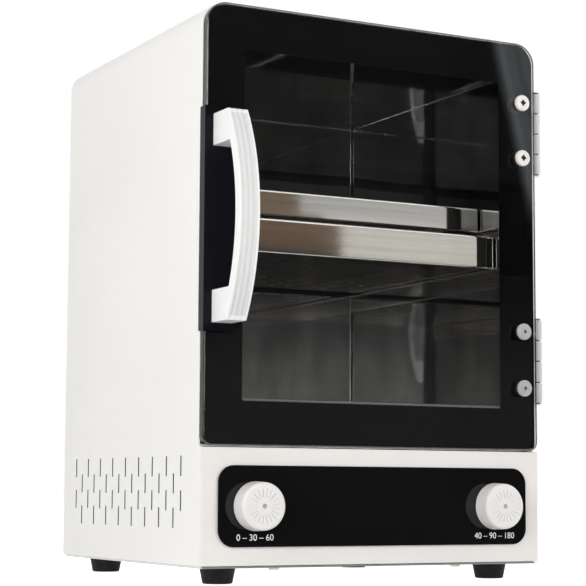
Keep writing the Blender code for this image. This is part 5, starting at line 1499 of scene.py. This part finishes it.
@dataclass
class Chamber:
    """Front frame, liner, rails and trays."""

    corner: float = 0.5 * MM
    wall: float = 1.0 * MM
    cove: float = 1.8 * MM
    tray_sheet: float = 0.9 * MM
    tray_rim: float = 1.4 * MM
    tray_corner: float = 1.7 * MM
    tray_bend: float = 1.1 * MM
    hole: float = 2.6 * MM
    pitch: float = 13.0 * MM
    margin: float = 11.0 * MM

    def build(self) -> None:
        """Build every piece."""
        self.front_frame()
        self.liner()
        self.rails()
        self.tray("tray_lower", True)
        self.tray("tray_upper", False)
        self.hidden_parts()

    def front_frame(self) -> None:
        """Front frame with a soft edge round its opening."""
        box = Box.of("front_frame")
        liner = Box.of("chamber_liner")
        bend, lip = 11.8 * MM, 0.9 * MM
        inner = []
        for sine, cosine in quarter(8):
            spread = lip * (1 - cosine) - self.wall
            outline = liner.outline([self.corner + spread + self.wall] * 4, inset=-spread)
            inner.append((outline, box.low.y + lip * (1 - sine)))
        outer = box.outline((SMALL_RADIUS, SMALL_RADIUS, bend, bend))
        sections = [(outer, box.low.y), (outer, box.high.y), (inner[0][0], box.high.y), *inner]
        rings = [Plane.FRONT.ring(outline, depth) for outline, depth in sections]
        steel = Form("front_frame_steel").loft(rings, closed=True).build(Finishes.frame_steel)
        even(steel)
        hand_over(steel, "cabinet", Finishes.frame_steel, "front_frame")

    def liner(self) -> None:
        """Polished liner with a small radius along every inner corner."""
        box = Box.of("chamber_liner")

        def ring(inset: float, depth: float) -> Ring:
            """Draw the liner's section. Past the wall, its floor and ceiling move in less.

            Args:
                inset: How far it is drawn in.
                depth: Its depth.

            Returns:
                The section's points.
            """
            radius = max(self.corner + self.wall - inset, 0.4 * MM)
            rise = min(inset, self.wall + 0.4 * (inset - self.wall))
            return Plane.FRONT.ring(box.outline([radius] * 4, 10, inset, rise), depth)

        cove, inner_back = self.cove, box.high.y - self.wall
        rings = [ring(0.0, box.high.y), ring(0.0, box.low.y), ring(self.wall, box.low.y),
                 ring(self.wall, inner_back - cove)]
        rings += [ring(self.wall + cove * (1 - cosine), inner_back - cove * (1 - sine))
                  for sine, cosine in quarter(6)[1:]]
        liner = Form("liner_polished").loft(rings).build(Finishes.liner_steel, 30.0)
        even(liner, 50.0)
        hand_over(liner, "cabinet", Finishes.liner_steel, "chamber_liner")

    def rails(self) -> None:
        """Four angle rails."""
        for level in ("lower", "upper"):
            for side in ("left", "right"):
                node = f"rail_{level}_{side}"
                box = Box.of(node)
                sheet = self.wall
                rail = Form(node + "_steel").block((box.low.x, box.low.y, box.high.z - sheet), box.high)
                edges = (box.low.x, box.low.x + sheet) if side == "left" else (box.high.x - sheet, box.high.x)
                rail.block((edges[0], box.low.y, box.low.z), (edges[1], box.high.y, box.high.z))
                piece = rail.build(Finishes.tray_steel)
                soften(piece, 0.2 * MM, 2)
                hand_over(piece, "cabinet", Finishes.tray_steel, node)

    def tray(self, node: str, pierced: bool) -> None:
        """Build a tray of folded sheet with a rounded rim.

        Args:
            node: The tray's node.
            pierced: True if its floor has holes.
        """
        box = Box.of(node)

        def ring(inset: float, depth: float) -> Ring:
            """Return the tray's section, drawn in by an inset."""
            outline = box.outline([self.tray_corner - inset] * 4, 8, inset, plane=Plane.TOP)
            return Plane.TOP.ring(outline, depth)

        bend, sheet = self.tray_bend, self.tray_sheet
        rim, inner = sheet * 0.85, bend - sheet
        rings = [ring(bend * (1 - sine), box.low.z + bend * (1 - cosine)) for sine, cosine in quarter(6)]
        rings += [ring(rim * (1 - cosine), box.high.z - self.tray_rim * (1 - sine))
                  for sine, cosine in quarter(12)]
        rings.append(ring(sheet, box.high.z - sheet * 0.15))
        rings += [ring(sheet + inner * (1 - cosine), box.low.z + bend - inner * sine)
                  for sine, cosine in quarter(4)]
        tray = Form(node + "_steel").loft(rings).build(Finishes.tray_steel, 50.0)
        if pierced:
            self.pierce(tray, box)
        even(tray, 50.0)
        hand_over(tray, node, Finishes.tray_steel, node)

    def pierce(self, tray: bpy.types.Object, box: Box) -> None:
        """Cut rows of holes into a tray's floor.

        Args:
            tray: The tray.
            box: The box of its solid.
        """
        size = box.high - box.low
        counts = [int((length - 2 * self.margin) / self.pitch) + 1 for length in (size.x, size.y)]
        start = [box.middle[axis] - self.pitch * (counts[axis] - 1) / 2 for axis in (0, 1)]
        profile = [(self.hole, -2.0 * MM), (self.hole, 2.0 * MM)]
        cutter = Form("hole").turned(profile, (0, 0), Plane.TOP, 14).build()
        rows_of_cuts(tray, cutter, Finishes.tray_steel, (*start, box.low.z), tuple(counts),
                     (self.pitch, self.pitch), Plane.TOP, False)

    def hidden_parts(self) -> None:
        """Solids that only show when the cabinet is taken apart."""
        keep(Finishes.wool, "insulation_jacket", "insulation_board")
        keep(Finishes.zinc, "heater_element", "heater_bar_front", "heater_bar_rear", "bulb_clip",
             "thermal_cutout")
        keep(Finishes.copper, "sensor_bulb")
        keep(Finishes.dark_plastic, "terminal_block")
        keep(Finishes.sleeve, "wire_inlet", "wire_timer", "wire_heater")


@dataclass
class Inlet:
    """Mains inlet in the rear panel."""

    corner: float = 2.0 * MM
    wall: float = 1.6 * MM
    flange: float = 2.0 * MM
    shaft: Pair = (13.7 * MM, 10.2 * MM)
    key: float = 4.0 * MM
    depth: float = 16.0 * MM
    blade: tuple[float, float, float] = (2.0 * MM, 4.0 * MM, 13.0 * MM)
    blade_spacing: Pair = (7.0 * MM, 2.2 * MM)

    def build(self) -> None:
        """Build the socket and its blades."""
        box = Box.of("inlet_socket")
        middle = box.middle
        wide, high = self.shaft
        form = Form("inlet_moulding").slab(
            box.outline([self.corner] * 4), Plane.FRONT, box.high.y - self.flange, box.high.y)
        body = form.build(Finishes.dark_plastic)
        shaft = Form("shaft").block(
            (middle.x - wide, box.low.y, middle.z - high),
            (middle.x + wide, box.high.y - self.flange / 2, middle.z + high)).build()
        carve(body, shaft, operation="UNION")
        inner_x, inner_z, key = wide - self.wall, high - self.wall, self.key
        corners = ((-inner_x, -inner_z), (inner_x, -inner_z), (inner_x, inner_z - key),
                   (inner_x - key, inner_z), (-inner_x + key, inner_z), (-inner_x, inner_z - key))
        outline = [(middle.x + across, middle.z + up) for across, up in corners]
        floor_y = box.high.y - self.depth
        cavity = Form("cavity").slab(outline, Plane.FRONT, floor_y, box.high.y + self.flange).build()
        carve(body, cavity)
        soften(body, 0.4 * MM, 3)
        hand_over(body, "cabinet", Finishes.dark_plastic, "inlet_socket")
        width, height, length = self.blade
        outline = centred(width, height, 0.5 * MM, 4)
        blade = Form("blade").slab(outline, Plane.FRONT, -0.5 * MM, length).build()
        across, up = self.blade_spacing
        places = [(middle.x + across * way, floor_y, middle.z + up * rise)
                  for way, rise in ((-1, -1), (0, 1), (1, -1))]
        blades = set_out("inlet_blades", blade, places, Finishes.blade)
        hand_over(blades, "cabinet", Finishes.blade)


# The studio


@dataclass(frozen=True)
class Viewpoint:
    """Camera fitted to the photograph."""

    place: tuple[float, float, float] = (-0.53217, -0.98530, 0.05179)
    yaw: float = 0.485147
    pitch: float = 0.108195
    roll: float = 0.005118
    focal: float = 1815.085
    image: float = 586.0
    sensor: float = 36.0

    def build(self) -> None:
        """Make the camera."""
        ahead = Vector((sin(self.yaw) * cos(self.pitch), cos(self.yaw) * cos(self.pitch), sin(self.pitch)))
        right = Vector((cos(self.yaw), -sin(self.yaw), 0.0))
        up = right.cross(ahead)
        across = right * cos(self.roll) + up * sin(self.roll)
        above = up * cos(self.roll) - right * sin(self.roll)
        data = bpy.data.cameras.new("photo_camera")
        data.sensor_width = self.sensor
        data.lens = self.focal * self.sensor / self.image
        data.clip_start, data.clip_end = 0.05, 50.0
        camera = placed("photo_camera", data)
        turn = Matrix((across, above, -ahead)).transposed().to_4x4()
        camera.matrix_world = Matrix.Translation(self.place) @ turn
        bpy.context.scene.camera = camera


def bare_tree(piece: bpy.types.Object) -> Nodes:
    """Give a piece of the set a material whose tree is empty.

    Args:
        piece: The piece.

    Returns:
        The tree.
    """
    material = bpy.data.materials.new(piece.name)
    material.use_nodes = True
    piece.data.materials.append(material)
    nodes = Nodes(material.node_tree)
    nodes.tree.nodes.clear()
    return nodes


class Seen(Enum):
    """Which rays a card meets: those that leave a surface, or those that leave the glass."""

    REFLECTED = "glossy"
    THROUGH_GLASS = "transmission"


@dataclass(frozen=True)
class Card:
    """A plain card beside the set that shows only in reflections, on the object or behind its glass."""

    name: str
    low: Point
    high: Point
    depth: float
    colour: Colour
    level: float
    seen: Seen
    plane: Plane = Plane.FRONT
    crossings: int = 0

    def strength(self, nodes: Nodes) -> Wire | float:
        """Tell the card's light, which may wait until a ray has crossed some glass faces.

        Args:
            nodes: The card's tree.

        Returns:
            The light.
        """
        if not self.crossings:
            return self.level
        path = nodes.wire(nodes.add("ShaderNodeLightPath"), "Transmission Depth")
        return self.level * nodes.maths("GREATER_THAN", path, self.crossings - 0.5)

    def build(self) -> None:
        """Stand the card square to the front, or lay it down."""
        (left, low), (right, high) = self.low, self.high
        outline = [(left, low), (right, low), (right, high), (left, high)]
        card = Form(self.name).slab(outline, self.plane, self.depth, self.depth + 0.4 * MM).build()
        nodes = bare_tree(card)
        glow = nodes.add("ShaderNodeEmission", values={
            "Color": (*self.colour, 1.0), "Strength": self.strength(nodes)})
        nodes.add("ShaderNodeOutputMaterial", values={"Surface": glow.outputs[0]})
        card.visible_camera = False
        card.visible_diffuse = False
        card.visible_shadow = False
        card.visible_volume_scatter = False
        card.visible_glossy = self.seen is Seen.REFLECTED
        card.visible_transmission = self.seen is Seen.THROUGH_GLASS
        card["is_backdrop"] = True


@dataclass(frozen=True)
class SoftCard(Card):
    """A card with a slanted soft left edge that fades towards its foot."""

    slant: float = 0.25
    edge: Pair = (0.485, 0.501)
    fade: Pair = (0.27, 0.33)
    rest: float = 0.14
    streaks: float = 55.0

    def strength(self, nodes: Nodes) -> Wire:
        """Tell the card's light over its face.

        Args:
            nodes: The card's tree.

        Returns:
            The light.
        """
        across, _, up = nodes.axes(nodes.add("ShaderNodeTexCoord").outputs["Object"])
        line = across + self.slant * up
        streak = nodes.wire(nodes.add("ShaderNodeTexNoise", {"noise_dimensions": "1D"}, {
            "W": line, "Scale": self.streaks, "Detail": 1.0}))
        light = self.level * (0.35 + 1.3 * streak)
        side = nodes.ramp(line, *self.edge, kind="SMOOTHSTEP")
        return light * side * nodes.ramp(up, *self.fade, self.rest, kind="SMOOTHSTEP")


@dataclass(frozen=True)
class GradedCard(Card):
    """A card that is brightest low down."""

    span: Pair = (0.22, 0.35)
    rest: float = 0.4

    def strength(self, nodes: Nodes) -> Wire:
        """Return the card's light over its height."""
        up = nodes.axes(nodes.add("ShaderNodeTexCoord").outputs["Object"])[2]
        return self.level * nodes.ramp(up, *self.span, 1.0, self.rest)


@dataclass(frozen=True)
class Lamp:
    """A soft square lamp aimed at the cabinet."""

    name: str
    place: tuple[float, float, float]
    size: float
    power: float
    colour: Colour = (1.0, 1.0, 1.0)
    target: tuple[float, float, float] = (0.0, 0.0, 0.16)

    def build(self) -> None:
        """Hang the lamp."""
        data = bpy.data.lights.new(self.name, "AREA")
        data.shape = "SQUARE"
        data.size = self.size
        data.energy = self.power
        data.color = self.colour
        lamp = placed(self.name, data)
        aim = Vector(self.target) - Vector(self.place)
        lamp.visible_transmission = False
        turn = aim.to_track_quat("-Z", "Y").to_matrix().to_4x4()
        lamp.matrix_world = Matrix.Translation(self.place) @ turn


@dataclass
class Studio:
    """Floor, surroundings, lamps and the cards that the glass and the steel reflect."""

    ambient: float = 0.5
    floor_glow: float = 0.72
    lamps: tuple[Lamp, ...] = (
        Lamp("key_lamp", (-1.1, -0.75, 0.42), 0.8, 9.0),
        Lamp("front_lamp", (0.9, -1.15, 0.42), 0.8, 6.6),
    )
    cards: tuple[Card, ...] = (
        Card("dark_front", (-3.0, -0.2), (3.0, 2.6), -0.56, (0.9, 0.95, 1.0), 0.03, Seen.REFLECTED),
        Card("dark_ground", (-3.0, -3.0), (3.0, -0.135), 0.0002, (0.9, 0.95, 1.0), 0.017, Seen.REFLECTED,
             Plane.TOP),
        SoftCard("pale_corner", (0.33, 0.05), (0.60, 0.75), -0.53, (0.88, 0.95, 1.0), 1.2, Seen.REFLECTED),
        GradedCard("far_room", (-6.0, -0.2), (6.0, 0.358), -1.65, (1.0, 0.98, 0.96), 0.222,
                   Seen.THROUGH_GLASS),
        Card("dark_room", (-6.0, 0.358), (6.0, 0.80), -1.65, (0.97, 0.99, 1.0), 0.05, Seen.THROUGH_GLASS),
        Card("high_room", (-6.0, 0.80), (6.0, 4.0), -1.65, (1.0, 0.98, 0.96), 1.7, Seen.THROUGH_GLASS),
        Card("dark_floor", (-3.0, -3.0), (0.15, -0.30), 0.0002, (1.0, 0.95, 0.91), 0.053, Seen.THROUGH_GLASS,
             Plane.TOP),
        Card("right_floor", (0.15, -3.0), (3.0, -0.30), 0.0002, (1.0, 0.98, 0.97), 0.13, Seen.THROUGH_GLASS,
             Plane.TOP),
        Card("lower_brown", (0.09, 0.256), (0.238, 0.292), -0.53, (0.24, 0.16, 0.115), 0.8,
             Seen.THROUGH_GLASS, crossings=4),
        Card("upper_brown", (0.07, 0.292), (0.215, 0.33), -0.53, (0.283, 0.208, 0.158), 0.9,
             Seen.THROUGH_GLASS, crossings=4),
        Card("lower_pale", (0.238, 0.245), (0.9, 0.292), -0.53, (0.90, 0.87, 0.83), 0.98, Seen.THROUGH_GLASS,
             crossings=4),
        Card("upper_pale", (0.215, 0.292), (0.9, 0.33), -0.53, (0.88, 0.87, 0.87), 0.77, Seen.THROUGH_GLASS,
             crossings=4),
        Card("pale_side", (-0.4, 0.292), (0.07, 0.33), -0.53, (0.90, 0.90, 0.90), 0.4, Seen.THROUGH_GLASS,
             crossings=4),
        Card("high_card", (-0.4, 0.62), (1.2, 1.3), -0.53, (1.0, 0.98, 0.96), 1.6, Seen.THROUGH_GLASS,
             crossings=4),
        Card("left_card", (-0.9, 0.15), (-0.42, 0.31), -0.53, (1.0, 0.99, 0.97), 3.0, Seen.THROUGH_GLASS),
    )

    def build(self) -> None:
        """Set up everything round the cabinet."""
        self.world()
        self.floor()
        for item in (*self.lamps, *self.cards):
            item.build()
        scene = bpy.context.scene
        scene.view_settings.view_transform = "Standard"
        scene.cycles.glossy_bounces = 10
        Viewpoint().build()

    def shown(self, nodes: Nodes) -> Wire:
        """Find the rays that show the background as it is.

        Args:
            nodes: The tree that asks.

        Returns:
            1 for these rays and 0 for the others.
        """
        path = nodes.add("ShaderNodeLightPath")
        looks = [nodes.wire(path, name) for name in ("Is Camera Ray", "Is Glossy Ray", "Is Transmission Ray")]
        return nodes.maths("MAXIMUM", nodes.maths("MAXIMUM", looks[0], looks[1]), looks[2])

    def world(self) -> None:
        """White surroundings that light the object a little less."""
        world = bpy.data.worlds.new("pale_studio")
        bpy.context.scene.world = world
        world.use_nodes = True
        nodes = Nodes(world.node_tree)
        ground = nodes.tree.nodes["Background"]
        nodes.feed(ground.inputs["Strength"], self.ambient + (1.0 - self.ambient) * self.shown(nodes))
        nodes.feed(ground.inputs["Color"], WHITE)

    def floor(self) -> None:
        """Pale floor that keeps a soft shadow."""
        floor = Form("pale_floor").block((-6.0, -6.0, -0.02), (6.0, 6.0, -0.0001)).build()
        nodes = bare_tree(floor)
        matt = nodes.add("ShaderNodeBsdfDiffuse", values={"Color": (0.9, 0.9, 0.9, 1.0)})
        glow = nodes.add("ShaderNodeEmission", values={"Strength": self.floor_glow * self.shown(nodes)})
        both = nodes.add("ShaderNodeAddShader", values={0: matt.outputs[0], 1: glow.outputs[0]})
        nodes.add("ShaderNodeOutputMaterial", values={"Surface": both.outputs[0]})
        floor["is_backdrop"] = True


def write_sizes() -> None:
    """Work out the box of the solids and that of the dressed object, as lists that are then dropped."""
    boxes = {"cad": CAD_BOX, "visual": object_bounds()}
    {name: [list(corner) for corner in box] for name, box in boxes.items()}


def main() -> None:
    """Build the sub-assemblies and the studio in order."""
    logging.basicConfig(level=logging.INFO, format="%(name)s: %(message)s")
    for part in (Cabinet(), Controls(), Door(), Chamber(), Inlet(), Studio()):
        LOG.info("building %s", type(part).__name__)
        part.build()
    write_sizes()


if __name__ == "__main__":
    main()
